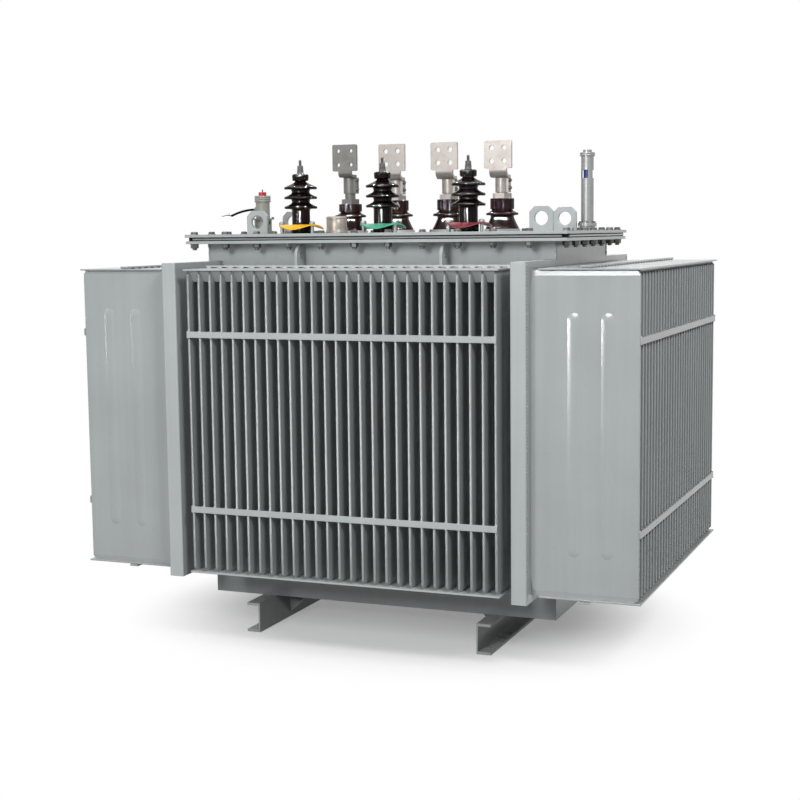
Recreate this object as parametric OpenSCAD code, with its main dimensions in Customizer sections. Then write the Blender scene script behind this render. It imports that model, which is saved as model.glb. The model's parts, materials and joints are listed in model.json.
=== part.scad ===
// Oil-filled power transformer with corrugated cooling fins, standing on two base channels.
// Frame: origin on the floor under the middle of the tank, +X along the tank, +Z up.
// The high-voltage bushings stand along the front, towards -Y.

/* [Base channels] */
// Distance between the middles of the two channels
channel_gauge = 822; // [760:1:900]
// Height of a channel
channel_h = 100; // [80:1:140]
// Width of a channel over its flanges
channel_w = 48; // [40:1:70]
// Thickness of the channel's web
channel_web = 5.3; // [4:0.1:8]
// Thickness of the channel's flanges
channel_flange = 8.5; // [6:0.1:12]
// Length of a channel
channel_len = 874; // [700:1:1000]
// Reach of a gusset along the tank floor
gusset_w = 64; // [40:1:100]
// Drop of a gusset down the channel's web
gusset_h = 60; // [40:1:75]
// Thickness of a gusset
gusset_t = 8; // [5:1:12]
// Distance of the gussets from the middle of the channel
gusset_y = 201; // [100:1:280]

/* [Tank] */
// Length of the tank body
tank_l = 1230; // [1150:1:1400]
// Width of the tank body
tank_w = 630; // [560:1:800]
// Height of the tank walls
tank_h = 1210; // [1150:1:1400]
// Thickness of the tank walls
wall_t = 6; // [4:0.5:10]
// Thickness of the tank floor
floor_t = 8; // [5:0.5:14]
// Width of a corner box
box_w = 50; // [40:1:60]
// Reach of a corner box in front of the tank wall
box_reach = 319; // [300:1:360]
// Height of a corner box
box_h = 1029; // [1000:1:1060]
// Height of a corner box's bottom above the tank floor
box_rise = 123; // [90:1:150]
// Rounding of a corner box's upright edges
box_r = 6; // [2:0.5:10]

/* [Cooling fins] */
// Number of fins on the front and on the back
long_fins = 27; // [21:2:27]
// Number of fins on each end
end_fins = 30; // [24:2:30]
// Distance from fin to fin
fin_pitch = 40; // [36:1:40]
// Thickness of a fin
fin_t = 9; // [7:0.5:12]
// Depth of the front and back fins
long_fin_depth = 318; // [280:1:330]
// Depth of the end fins
end_fin_depth = 330; // [280:1:360]
// Height of a fin
fin_h = 981; // [900:1:1000]
// Height of the fins' lower ends above the tank floor
fin_rise = 146; // [120:1:170]
// Rounding of a fin's outer edge
fin_edge_r = 3; // [1:0.5:3]
// Radius of the bend where a fin leaves the wall
fin_root_r = 11; // [4:1:12]
// Thickness of a fin's pressed end
fin_end_t = 4; // [3:0.5:6]
// Length over which a fin's end is pressed together
fin_press = 16; // [10:1:30]
// Bevel of a fin's outer corners
fin_bevel = 12; // [4:1:20]
// Width of a pressed bead on a fin
bead_w = 40; // [24:1:50]
// Height of a pressed bead
bead_h = 2.5; // [1:0.5:4]
// Length of a pressed bead
bead_len = 730; // [600:1:800]
// Distance between the two beads of a fin
bead_gap = 102; // [80:1:130]
// Distance of the pair of beads outward from the middle of the fin
bead_set = 18; // [0:1:30]
// Thickness of the plates over the fin ends
plate_t = 5; // [3:0.5:8]
// Overhang of those plates beyond the fins
plate_over = 7; // [3:1:12]
// Gap between those plates and the wall
plate_gap = 25; // [10:1:60]
// Height of a band across the fins
band_h = 20; // [12:1:30]
// Thickness of a band
band_t = 5; // [3:0.5:8]
// Height of the lower band above the fins' lower ends
band_low = 205; // [100:1:300]
// Height of the upper band above the fins' lower ends
band_high = 776; // [600:1:850]
// Width of the strap along the middle of a fin plate
strap_w = 30; // [20:1:45]
// Thickness of that strap
strap_t = 5; // [3:0.5:8]
// Height of the weld pads under the strap
strap_pad_h = 3; // [1:0.5:5]
// Length of a weld pad
strap_pad_len = 15; // [8:1:20]

/* [Rim and cover] */
// Reach of the rim flange beyond the tank wall
rim_reach = 53; // [40:1:70]
// Reach of the rim flange in front of and behind the tank
rim_reach_y = 65; // [40:1:80]
// Thickness of the rim flange
rim_t = 10; // [6:1:16]
// Overhang of the cover beyond the rim flange
cover_over = 4; // [0:1:8]
// Thickness of the cover
cover_t = 10; // [6:1:16]
// Rounding of the cover's corners
cover_r = 6; // [2:1:12]
// Thickness of the rubber gasket
gasket_t = 12; // [6:1:16]
// Width of the rubber gasket
gasket_w = 32; // [20:1:34]
// Distance from the cover's long edges to the gasket's steel strips
strip_set = 15; // [8:1:20]
// Distance from the cover's end edges to the gasket's steel strips
strip_set_end = 4; // [4:1:20]
// Height of the steel strip
strip_h = 6; // [3:0.5:8]
// Thickness of the steel strip
strip_t = 4; // [2:0.5:5]
// Gap in the steel strips at each corner
strip_gap = 20; // [10:1:50]
// Width of a lifting lug
lug_w = 80; // [60:1:100]
// Height of a lifting lug
lug_h = 80; // [70:1:100]
// Thickness of a lifting lug
lug_t = 12; // [8:1:20]
// Bevel of a lifting lug's upper corners
lug_bevel = 18; // [8:1:20]
// Diameter of a lifting lug's hole
lug_hole = 46; // [30:1:48]
// Height of that hole above the cover
lug_hole_z = 41; // [34:1:46]
// Distance of the lifting lugs from the middle, along the tank
lug_x = 516; // [480:1:560]
// Distance of the lifting lugs from the middle, across the tank
lug_y = 140; // [136:1:160]
// Distance of the hauling lugs from the middle
haul_x = 255; // [150:1:350]
// Reach of a hauling lug
haul_reach = 65; // [45:1:75]
// Height of a hauling lug
haul_h = 66; // [50:1:70]
// Thickness of a hauling lug
haul_t = 10; // [6:1:14]
// Diameter of a hauling lug's hole
haul_hole = 22; // [12:1:26]
// Gap between a hauling lug and the rim flange
haul_gap = 8; // [4:1:20]

/* [High-voltage bushings] */
// Distance from bushing to bushing
hv_pitch = 300; // [260:1:320]
// Distance of the row from the middle of the tank
hv_y = 240; // [225:1:260]
// Radius of the porcelain body
hv_r = 30.5; // [28:0.5:34]
// Radius of the sheds
hv_shed_r = 56; // [50:1:64]
// Height of the lowest shed's rim above the cover
hv_shed_z = 87; // [76:1:100]
// Distance from shed to shed
hv_shed_pitch = 32.5; // [30:0.5:45]
// Number of sheds
hv_sheds = 3; // [2:1:3]
// Radius of the shed's rounded rim
hv_rim_r = 4; // [2:0.5:5]
// Height of a shed's sloping top
hv_rise = 15; // [12:1:20]
// Reach of the porcelain's foot beyond its body
hv_foot_reach = 3; // [2:0.5:8]
// Radius of the neck under the head
hv_neck_r = 19.5; // [16:0.5:22]
// Distance from the top shed to the head
hv_neck_h = 27; // [24:1:34]
// Radius of the head of the porcelain
hv_head_r = 27.5; // [24:0.5:32]
// Height of that head
hv_head_h = 20; // [17:1:26]
// Rounding of that head
hv_head_round = 8; // [3:0.5:8]
// Diameter of the terminal stud
hv_stud = 10; // [8:0.5:12]
// Width of the terminal nut across its flats
hv_nut = 19; // [16:0.5:24]
// Height of a terminal nut
hv_nut_h = 11.4; // [8:0.1:14]
// Thickness of the terminal washer
hv_washer_h = 3; // [2:0.5:4]
// Length of the stud above its nuts
hv_stud_len = 18; // [12:1:40]
// Radius of the clamp plate
clamp_r = 76; // [74:1:90]
// Height of the middle of the clamp plate's wavy rim above the cover
clamp_z = 19; // [14:1:24]
// Height of that wave
clamp_wave = 7; // [3:0.5:8]
// Thickness of the clamp plate
clamp_t = 4; // [2:0.5:6]
// Radius of the circle of clamp studs
clamp_pcd_r = 65; // [58:1:68]
// Diameter of a clamp stud
clamp_stud = 12; // [8:1:14]

/* [Low-voltage bushings] */
// Place of the middle phase's bushing along the tank
lv_mid_x = 91; // [70:1:110]
// Distance from phase to phase
lv_pitch = 197; // [170:1:210]
// Distance from the left phase to the neutral
neutral_space = 182; // [160:1:200]
// Distance of the row from the middle of the tank
lv_y = 147; // [120:1:200]
// Height of the steel seat under the porcelain
lv_seat_h = 8; // [4:1:14]
// Reach of that seat beyond the porcelain's foot
lv_seat_reach = 5; // [2:1:10]
// Radius of the porcelain's foot
lv_foot_r = 58; // [50:1:62]
// Height of the foot's upright edge
lv_foot_h = 6; // [4:1:10]
// Radius of the waist between the foot and the shed
lv_waist_r = 40; // [36:0.5:43]
// Radius of the shed
lv_shed_r = 57; // [50:1:62]
// Height of the shed's rim above the seat
lv_shed_z = 51; // [44:1:56]
// Radius of the shed's rounded rim
lv_rim_r = 3; // [1:0.5:4]
// Height of the shed's sloping top
lv_rise = 13; // [10:1:18]
// Radius of the collar
lv_collar_r = 41.5; // [38:0.5:46]
// Height of a phase's collar top above the seat
lv_collar_z = 105; // [95:1:120]
// Height of the neutral's collar top above the seat
neutral_collar_z = 95; // [85:1:115]
// Depth of the groove under the collar
lv_groove = 5; // [2:0.5:8]
// Height of that groove
lv_groove_h = 4; // [2:0.5:8]
// Number of upright flutes round the collar
lv_flutes = 10; // [6:1:16]
// Radius of a flute
lv_flute_r = 3.5; // [2:0.5:5]
// Width of the nut across its flats
lv_nut = 60; // [50:1:70]
// Height of the nut
lv_nut_h = 17.5; // [14:0.5:26]
// Diameter of the stud
lv_stud = 38; // [30:1:42]
// Length of stud that shows between a phase's nut and its clamp
lv_stud_gap = 3; // [2:1:20]
// Length of stud that shows between the neutral's nut and its clamp
neutral_stud_gap = 20; // [2:1:30]
// Outer radius of the clamp barrel
barrel_r = 24; // [22:0.5:30]
// Height of a phase's clamp barrel
barrel_h = 50; // [40:1:70]
// Height of the neutral's clamp barrel
neutral_barrel_h = 57; // [40:1:70]
// Reach of the clamp's ears beside the barrel
ear_reach = 4; // [2:1:14]
// Width of the two ears together
ear_w = 28; // [20:1:36]
// Slit in the side of the clamp barrel
barrel_slit = 4; // [2:0.5:8]
// Width of a phase flag
flag_w = 99; // [80:1:110]
// Height of a phase flag
flag_h = 95; // [80:1:110]
// Width and height of the neutral flag
neutral_flag_w = 94; // [80:1:110]
// Thickness of a terminal flag
flag_t = 10; // [6:1:14]
// Distance of the flag's middle in front of the stud
flag_set = 43; // [38:1:55]
// Width of a phase flag's neck
flag_neck_w = 63; // [50:1:70]
// Width of the neutral flag's neck
neutral_neck_w = 50; // [44:1:70]
// Height of the flag's straight neck
flag_neck_h = 6; // [4:1:30]
// Radius of the bend under a phase flag
flag_bend = 20; // [10:1:30]
// Radius of the bend under the neutral flag
neutral_bend = 11; // [8:1:30]
// Rounding of a flag's corners
flag_round = 5; // [1:0.5:8]
// Distance between the holes of a phase flag
flag_pitch = 45; // [36:1:56]
// Diameter of the holes of a phase flag
flag_hole = 17; // [11:0.5:18]
// Distance between the holes of the neutral flag
neutral_pitch = 49; // [36:1:60]
// Diameter of the holes of the neutral flag
neutral_hole = 13; // [11:0.5:18]

/* [Fittings] */
// Place of the relief valve along the tank
valve_x = -536; // [-560:1:-520]
// Place of the relief valve across the tank
valve_y = -62; // [-70:1:0]
// Radius of the relief valve's body
valve_r = 25; // [22:0.5:29]
// Radius of the relief valve's foot and lip
valve_foot_r = 40; // [37:0.5:46]
// Height of the relief valve's foot
valve_foot_h = 10; // [6:1:14]
// Radius of the thicker lower body
valve_base_r = 31; // [29:0.5:36]
// Height of the thicker lower body
valve_base_h = 50; // [40:1:60]
// Thickness of the lip on the lower body
valve_lip_t = 4; // [2:0.5:8]
// Radius of the collar round the body's top
valve_collar_r = 28; // [26:0.5:34]
// Height of that collar
valve_collar_h = 22; // [14:1:30]
// Height of the relief valve's body
valve_h = 134; // [120:1:150]
// Radius of the red cap
valve_cap_r = 14; // [10:0.5:20]
// Height of the red cap
valve_cap_h = 13; // [8:1:20]
// Radius of the signal pin in the cap
valve_pin_r = 2; // [1:0.5:4]
// Length of that pin above the cap
valve_pin_h = 9; // [4:1:16]
// Height of the cable gland above the cover
gland_z = 86; // [75:1:100]
// Radius of the cable gland
gland_r = 9; // [6:0.5:12]
// Length of the cable gland outside the body
gland_len = 5; // [3:1:14]
// Diameter of the signal cable
lead_d = 8; // [5:0.5:10]
// Place of the filler cap along the tank
filler_x = -223; // [-235:1:-200]
// Place of the filler cap across the tank
filler_y = -120; // [-140:1:-20]
// Radius of the filler cap
filler_r = 35; // [28:1:40]
// Height of the filler cap
filler_h = 57; // [40:1:70]
// Rounding of the filler cap's top
filler_round = 7; // [3:1:12]
// Reach of the filler cap's foot
filler_foot = 4; // [2:1:8]
// Height of the filler cap's foot
filler_foot_h = 5; // [3:1:8]
// Place of the level gauge along the tank
gauge_x = 588; // [570:1:600]
// Place of the level gauge across the tank
gauge_y = 160; // [120:1:200]
// Radius of the gauge tube
gauge_r = 21.5; // [18:0.5:26]
// Height of the gauge tube
gauge_h = 249; // [230:1:290]
// Radius of the gauge's foot flange
gauge_foot_r = 32; // [30:1:40]
// Thickness of that flange
gauge_foot_h = 12; // [6:1:16]
// Radius of the boss under that flange
gauge_boss_r = 27; // [24:0.5:30]
// Height of that boss
gauge_boss_h = 13; // [6:1:20]
// Reach of the collar round the tube's top
gauge_collar = 3.5; // [2:0.5:6]
// Height of that collar
gauge_collar_h = 13; // [8:1:20]
// Radius of the cap in the collar
gauge_cap_r = 15; // [10:0.5:20]
// Height of the cap above the tube
gauge_cap_h = 22; // [15:1:30]
// Wall of the gauge tube
gauge_wall = 5; // [3:0.5:7]
// Height of the sight window's sill above the cover
window_z = 176; // [120:1:200]
// Height of the sight window
window_h = 27; // [20:1:40]
// Width of the sight window
window_w = 25; // [14:1:28]
// Direction of the first of three sight windows
window_turn = -106; // [-150:1:-60]
// Radius of the float behind the window
float_r = 13; // [9:0.5:14]

/* [Hidden] */
$fn = 64;

paint = "#a6acac";
porcelain = "#2b1a18";
steel = "#9b9b98";
tinned = "#bdb5ae";
rubber = "#26282a";

floor_z = channel_h;
wall_top = floor_z + tank_h;
fin_z = floor_z + fin_rise;
rim_x = tank_l/2 + rim_reach;
rim_y = tank_w/2 + rim_reach_y;
gasket_z = wall_top + rim_t;
cover_z = gasket_z + gasket_t;
deck = cover_z + cover_t;
cover_x = rim_x + cover_over;
cover_y = rim_y + cover_over;
lv_left_x = lv_mid_x - lv_pitch;
lv_places = [lv_left_x - neutral_space, lv_left_x, lv_mid_x, lv_mid_x + lv_pitch];
// Room between the ends of two bars that meet
joint_gap = 0.5;
// Room around a stud or a float in its hole
hole_room = 0.3;
// How far a cutting solid runs past the faces that it cuts
cut = 5;

// Pieces that are mirrored, turned or repeated

module at_end(side) {
    mirror([side < 0 ? 1 : 0, 0, 0]) children();
}

module at_back(side) {
    mirror([0, side > 0 ? 1 : 0, 0]) children();
}

module rounded_rectangle(l, w, r) {
    square([l - 2*r, w], center = true);
    square([l, w - 2*r], center = true);
    for (x = [-1, 1], y = [-1, 1])
        translate([x*(l/2 - r), y*(w/2 - r)])
            circle(r);
}

module hexagon_nut(flats, h) {
    cylinder(r = flats/sqrt(3), h = h, $fn = 6);
}

// Base

module base_channel() {
    x_web = channel_gauge/2 - channel_w/2;
    color(paint) {
        translate([0, channel_len/2, 0])
            rotate([90, 0, 0])
                linear_extrude(channel_len)
                    difference() {
                        translate([x_web, 0])
                            square([channel_w, channel_h]);
                        translate([x_web + channel_web, channel_flange])
                            square([channel_w, channel_h - 2*channel_flange]);
                    }
        for (y = [-gusset_y, gusset_y])
            translate([x_web, y + gusset_t/2, channel_h])
                rotate([90, 0, 0])
                    linear_extrude(gusset_t)
                        polygon([[0, 0], [0, -gusset_h], [-gusset_w, 0]]);
    }
}

module left_base_channel() at_end(-1) base_channel();
module right_base_channel() at_end(1) base_channel();

// Tank

module tank_floor() {
    color(paint)
        translate([-tank_l/2 + wall_t, -tank_w/2 + wall_t, floor_z])
            cube([tank_l - 2*wall_t, tank_w - 2*wall_t, floor_t]);
}

module long_wall() {
    color(paint)
        translate([-tank_l/2, -tank_w/2, floor_z])
            cube([tank_l, wall_t, tank_h]);
}

module end_wall() {
    color(paint)
        translate([tank_l/2 - wall_t, -tank_w/2 + wall_t, floor_z])
            cube([wall_t, tank_w - 2*wall_t, tank_h]);
}

module tank_front_wall() long_wall();
module tank_back_wall() at_back(1) long_wall();
module tank_left_wall() at_end(-1) end_wall();
module tank_right_wall() at_end(1) end_wall();

// Upright box that carries the outer end fins, with its two outer edges rounded
module corner_box() {
    color(paint)
        translate([tank_l/2 - box_w/2, -tank_w/2 - box_reach/2, floor_z + box_rise])
            linear_extrude(box_h) {
                rounded_rectangle(box_w, box_reach, box_r);
                translate([-box_w/2, 0])
                    square([box_w, box_reach/2]);
            }
}

module front_left_corner_box() at_end(-1) corner_box();
module front_right_corner_box() corner_box();
module back_left_corner_box() at_end(-1) at_back(1) corner_box();
module back_right_corner_box() at_back(1) corner_box();

// Cooling fins: one hollow-pressed blade, seen from above, leaves the wall along +X

module fin_plan(depth) {
    translate([0, -fin_t/2])
        square([depth - fin_edge_r, fin_t]);
    translate([0, -fin_t/2 + fin_edge_r])
        square([depth, fin_t - 2*fin_edge_r]);
    for (y = [-1, 1])
        translate([depth - fin_edge_r, y*(fin_t/2 - fin_edge_r)])
            circle(fin_edge_r);
    difference() {
        translate([0, -fin_t/2 - fin_root_r])
            square([fin_root_r, fin_t + 2*fin_root_r]);
        for (y = [-1, 1])
            translate([fin_root_r, y*(fin_t/2 + fin_root_r)])
                circle(fin_root_r);
    }
}

// The blade seen end on: its ends are pressed to a thin lip
module fin_press_outline() {
    slope = fin_press/((fin_t - fin_end_t)/2);
    wide = fin_t/2 + fin_root_r + 1;
    low = (wide - fin_end_t/2)*slope;
    polygon([
        [-fin_end_t/2, 0], [fin_end_t/2, 0], [wide, low], [wide, fin_h - low],
        [fin_end_t/2, fin_h], [-fin_end_t/2, fin_h], [-wide, fin_h - low], [-wide, low]]);
}

// The blade seen from its side: its two outer corners are bevelled
module fin_side_outline(depth) {
    polygon([
        [-cut, 0], [depth - fin_bevel, 0], [depth, fin_bevel],
        [depth, fin_h - fin_bevel], [depth - fin_bevel, fin_h], [-cut, fin_h]]);
}

// A long lens that stands proud of both faces of the blade
module fin_bead() {
    half = bead_w/2;
    big = (half*half + bead_h*bead_h)/(2*bead_h);
    straight = bead_len - 2*half;
    intersection_for (side = [-1, 1])
        translate([0, side*(fin_t/2 + bead_h - big), fin_h/2 - straight/2]) {
            cylinder(r = big, h = straight);
            sphere(big);
            translate([0, 0, straight])
                sphere(big);
        }
}

module fin(depth) {
    intersection() {
        linear_extrude(fin_h)
            fin_plan(depth);
        rotate([90, 0, 90])
            translate([0, 0, -cut])
                linear_extrude(depth + 2*cut)
                    fin_press_outline();
        translate([0, fin_t + fin_root_r, 0])
            rotate([90, 0, 0])
                linear_extrude(2*(fin_t + fin_root_r))
                    fin_side_outline(depth);
    }
}

// A row of fins on a wall: count blades, their roots on the plane x = 0
module fin_row(count, depth) {
    color(paint)
        for (i = [0 : count - 1])
            translate([0, (i - (count - 1)/2)*fin_pitch, 0]) {
                fin(depth);
                for (x = [-bead_gap/2, bead_gap/2])
                    translate([depth/2 + bead_set + x, 0, 0])
                        fin_bead();
            }
}

// Fins that find room between two corner boxes, and along the end of the tank and its boxes
long_room = tank_l/2 - box_w - fin_t/2 - fin_root_r;
end_room = tank_w/2 + box_reach - fin_t/2;
long_count = min(long_fins, 2*floor(long_room/fin_pitch) + 1);
end_count = min(end_fins, 2*floor(end_room/fin_pitch + 1/2));

// Half the width of a row, over its outermost fins
function row_half(count) = (count - 1)/2*fin_pitch + fin_t/2;

// Plate over the fins' ends, with a strap that is welded on at every fin
module fin_plate(count, depth) {
    half = row_half(count) + plate_over;
    inner = plate_gap;
    outer = depth + plate_over;
    strap_x = depth/2;
    translate([inner, -half, 0])
        cube([outer - inner, 2*half, plate_t]);
    for (i = [0 : count - 1])
        translate([strap_x - strap_w/2, (i - (count - 1)/2)*fin_pitch - strap_pad_len/2, plate_t])
            cube([strap_w, strap_pad_len, strap_pad_h]);
    translate([strap_x - strap_w/2, -half, plate_t + strap_pad_h])
        cube([strap_w, 2*half, strap_t]);
}

// The plates over and under a row of fins, and the two bands across their outer edges
module fin_braces(count, depth) {
    half = row_half(count);
    color(paint) {
        translate([0, 0, fin_h])
            fin_plate(count, depth);
        mirror([0, 0, 1])
            fin_plate(count, depth);
        for (z = [band_low, band_high])
            translate([depth, -half, z - band_h/2])
                cube([band_t, 2*half, band_h]);
    }
}

// Puts a row that leaves the plane x = 0 on the front wall or on the right end
module on_front() {
    translate([0, -tank_w/2, fin_z])
        rotate([0, 0, -90])
            children();
}

module on_right() {
    translate([tank_l/2, 0, fin_z])
        children();
}

module front_fins() on_front() fin_row(long_count, long_fin_depth);
module back_fins() at_back(1) on_front() fin_row(long_count, long_fin_depth);
module right_fins() on_right() fin_row(end_count, end_fin_depth);
module left_fins() at_end(-1) on_right() fin_row(end_count, end_fin_depth);
module front_fin_braces() on_front() fin_braces(long_count, long_fin_depth);
module back_fin_braces() at_back(1) on_front() fin_braces(long_count, long_fin_depth);
module right_fin_braces() on_right() fin_braces(end_count, end_fin_depth);
module left_fin_braces() at_end(-1) on_right() fin_braces(end_count, end_fin_depth);

// Rim and cover

// Four bars around the rim: the long ones run through, the short ones fit between them
module rim_bars(x_out, y_out, x_width, y_width, z, h) {
    for (y = [-y_out, y_out - y_width])
        translate([-x_out, y, z])
            cube([2*x_out, y_width, h]);
    y_in = y_out - y_width - joint_gap;
    for (x = [-x_out, x_out - x_width])
        translate([x, -y_in, z])
            cube([x_width, 2*y_in, h]);
}

module rim_flange() {
    color(paint)
        rim_bars(rim_x, rim_y, rim_reach + wall_t, rim_reach_y + wall_t, wall_top, rim_t);
}

module cover_gasket() {
    color(rubber)
        rim_bars(
            cover_x - strip_set_end - strip_t, cover_y - strip_set - strip_t,
            gasket_w, gasket_w, gasket_z, gasket_t);
}

// Steel strips against the gasket's outer faces, open at the corners
module gasket_strips() {
    x = cover_x - strip_set_end;
    y = cover_y - strip_set;
    z = gasket_z + gasket_t/2 - strip_h/2;
    color(paint)
        for (side = [-1, 1]) {
            translate([-x + strip_gap, side*(y - strip_t/2) - strip_t/2, z])
                cube([2*(x - strip_gap), strip_t, strip_h]);
            translate([side*(x - strip_t/2) - strip_t/2, -y + strip_gap, z])
                cube([strip_t, 2*(y - strip_gap), strip_h]);
        }
}

// Cover with a raised seat under each low-voltage bushing
module cover_plate() {
    color(paint) {
        translate([0, 0, cover_z])
            linear_extrude(cover_t)
                rounded_rectangle(2*cover_x, 2*cover_y, cover_r);
        for (x = lv_places)
            translate([x, lv_y, cover_z])
                cylinder(r = lv_foot_r + lv_seat_reach, h = cover_t + lv_seat_h);
    }
}

module lifting_lug() {
    half = lug_w/2;
    translate([lug_x, lug_y + lug_t/2, deck])
        rotate([90, 0, 0])
            difference() {
                linear_extrude(lug_t)
                    polygon([
                        [-half, 0], [half, 0], [half, lug_h - lug_bevel],
                        [half - lug_bevel, lug_h], [lug_bevel - half, lug_h],
                        [-half, lug_h - lug_bevel]]);
                translate([0, lug_hole_z, -cut])
                    cylinder(d = lug_hole, h = lug_t + 2*cut);
            }
}

module lifting_lugs() {
    color(paint)
        for (x = [-1, 1], y = [-1, 1])
            mirror([x < 0 ? 1 : 0, 0, 0])
                mirror([0, y < 0 ? 1 : 0, 0])
                    lifting_lug();
}

// Upright ear on the neck of the tank, under the rim, with a round outer corner
module hauling_lug() {
    corner = haul_reach/2;
    translate([haul_x + haul_t/2, -tank_w/2, wall_top - haul_gap - haul_h])
        rotate([90, 0, -90])
            difference() {
                linear_extrude(haul_t) {
                    square([haul_reach, haul_h - corner]);
                    square([haul_reach - corner, haul_h]);
                    translate([haul_reach - corner, haul_h - corner])
                        circle(corner);
                }
                translate([haul_reach - corner, haul_h - corner, -cut])
                    cylinder(d = haul_hole, h = haul_t + 2*cut);
            }
}

module hauling_lugs() {
    color(paint)
        for (x = [-haul_x, haul_x], y = [-1, 1])
            at_back(y)
                translate([x - haul_x, 0, 0])
                    hauling_lug();
}

// High-voltage bushings

hv_foot_h = clamp_z + clamp_wave;
hv_last = hv_shed_z + (hv_sheds - 1)*hv_shed_pitch;
hv_head_z = hv_last + hv_neck_h;
hv_top = hv_head_z + hv_head_h;

// Half outline of a shed: flat below, a rounded rim, and a top that sweeps up to the radius r
module shed_outline(shed_r, rim_r, r, rise) {
    reach = shed_r - r;
    polygon([
        [0, -rim_r], [shed_r - rim_r, -rim_r], [shed_r - rim_r*0.6, rim_r*0.8],
        [r + reach*0.6, rise*0.52], [r + reach*0.3, rise*0.76], [r, rise], [0, rise]]);
    translate([shed_r - rim_r, 0])
        circle(rim_r);
}

// Half outline of the porcelain, turned about the bushing's axis
module hv_outline() {
    square([hv_r + hv_foot_reach, hv_foot_h]);
    square([hv_r, hv_last]);
    for (i = [0 : hv_sheds - 1])
        translate([0, hv_shed_z + i*hv_shed_pitch])
            shed_outline(hv_shed_r, hv_rim_r, i < hv_sheds - 1 ? hv_r : hv_neck_r, hv_rise);
    square([hv_neck_r, hv_head_z + hv_head_round]);
    translate([0, hv_head_z]) {
        square([hv_head_r - hv_head_round, hv_head_h]);
        translate([0, hv_head_round])
            square([hv_head_r, hv_head_h - 2*hv_head_round]);
        for (z = [hv_head_round, hv_head_h - hv_head_round])
            translate([hv_head_r - hv_head_round, z])
                circle(hv_head_round);
    }
}

module hv_porcelain(i) {
    color(porcelain)
        translate([i*hv_pitch, -hv_y, deck])
            rotate_extrude()
                intersection() {
                    hv_outline();
                    square([2*hv_shed_r, 2*hv_top]);
                }
}

module left_hv_bushing() hv_porcelain(-1);
module middle_hv_bushing() hv_porcelain(0);
module right_hv_bushing() hv_porcelain(1);

// Stud with its washer and a pair of nuts on top of each bushing
module hv_terminals() {
    color(steel)
        for (i = [-1 : 1])
            translate([i*hv_pitch, -hv_y, deck + hv_top]) {
                cylinder(r = hv_nut*0.62, h = hv_washer_h);
                translate([0, 0, hv_washer_h])
                    hexagon_nut(hv_nut, 2*hv_nut_h);
                cylinder(d = hv_stud, h = hv_washer_h + 2*hv_nut_h + hv_stud_len);
            }
}

// Pressed clamp plate: a level inner edge bears on the porcelain's foot, and the rim dips between three studs
clamp_steps = 48;
clamp_step = 360/clamp_steps;
clamp_in_r = hv_r + hv_foot_reach/2;
clamp_bear_r = hv_r + hv_foot_reach;

// Depth of the rim below its crests at the angle a, so that the facet at each crest and dip is level
function clamp_dip(a) = clamp_wave*(1 - cos(3*(a - 90))/cos(1.5*clamp_step));

// Ring of points at the radius r, which takes a share of the rim's dips
function clamp_ring(r, share, lift) = [
    for (k = [0 : clamp_steps - 1])
        let (a = (k + 0.5)*clamp_step)
            [r*cos(a), r*sin(a), hv_foot_h - share*clamp_dip(a) + lift]];

module clamp_sheet() {
    n = clamp_steps;
    rings = [
        [clamp_in_r, 0, 0], [clamp_bear_r, 0, 0], [clamp_r, 1, 0],
        [clamp_r, 1, clamp_t], [clamp_bear_r, 0, clamp_t], [clamp_in_r, 0, clamp_t]];
    points = [for (ring = rings) each clamp_ring(ring[0], ring[1], ring[2])];
    faces = [
        for (i = [0 : len(rings) - 1], k = [0 : n - 1], half = [0, 1])
            let (
                next = (i + 1) % len(rings),
                a = i*n + k,
                b = i*n + (k + 1) % n,
                c = next*n + (k + 1) % n,
                d = next*n + k)
                half == 0 ? [a, c, b] : [a, d, c]];
    polyhedron(points, faces);
}

// Puts a stud or its hole at each of a clamp plate's three crests
module at_clamp_studs() {
    for (a = [90, 210, 330])
        rotate([0, 0, a])
            translate([clamp_pcd_r, 0, 0])
                children();
}

module hv_clamp(i, tint) {
    color(tint)
        translate([i*hv_pitch, -hv_y, deck])
            difference() {
                clamp_sheet();
                at_clamp_studs()
                    cylinder(d = clamp_stud + 2*hole_room, h = 2*clamp_z + clamp_wave + clamp_t);
            }
}

// Studs that stand on the cover, each with its round-headed nut on the clamp plate's crest
module clamp_studs() {
    crest = clamp_z + clamp_wave + clamp_t;
    nut_r = clamp_stud*0.85;
    color(steel)
        for (i = [-1 : 1])
            translate([i*hv_pitch, -hv_y, deck])
                at_clamp_studs() {
                    cylinder(d = clamp_stud, h = crest + 1);
                    translate([0, 0, crest])
                        intersection() {
                            cylinder(r = nut_r, h = nut_r);
                            sphere(nut_r*1.12);
                        }
                }
}

module left_hv_clamp() hv_clamp(-1, "#f0aa1e");
module middle_hv_clamp() hv_clamp(0, "#46a082");
module right_hv_clamp() hv_clamp(1, "#822832");

// Low-voltage bushings

lv_collar_bottom = lv_shed_z + lv_rise + lv_groove_h;
lv_seat = deck + lv_seat_h;

// Half outline of the porcelain: a flared foot, a shed, a groove and the collar
module lv_outline(collar_z) {
    flare = lv_shed_z - lv_foot_h;
    square([lv_foot_r, lv_foot_h]);
    polygon([
        [0, lv_foot_h], [lv_foot_r, lv_foot_h],
        [lv_waist_r + (lv_foot_r - lv_waist_r)*0.4, lv_foot_h + flare*0.45],
        [lv_waist_r, lv_foot_h + flare*0.8], [lv_waist_r, lv_shed_z], [0, lv_shed_z]]);
    translate([0, lv_shed_z])
        shed_outline(lv_shed_r, lv_rim_r, lv_collar_r - lv_groove, lv_rise);
    square([lv_collar_r - lv_groove, collar_z]);
    translate([0, lv_collar_bottom])
        square([lv_collar_r, collar_z - lv_collar_bottom]);
}

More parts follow.
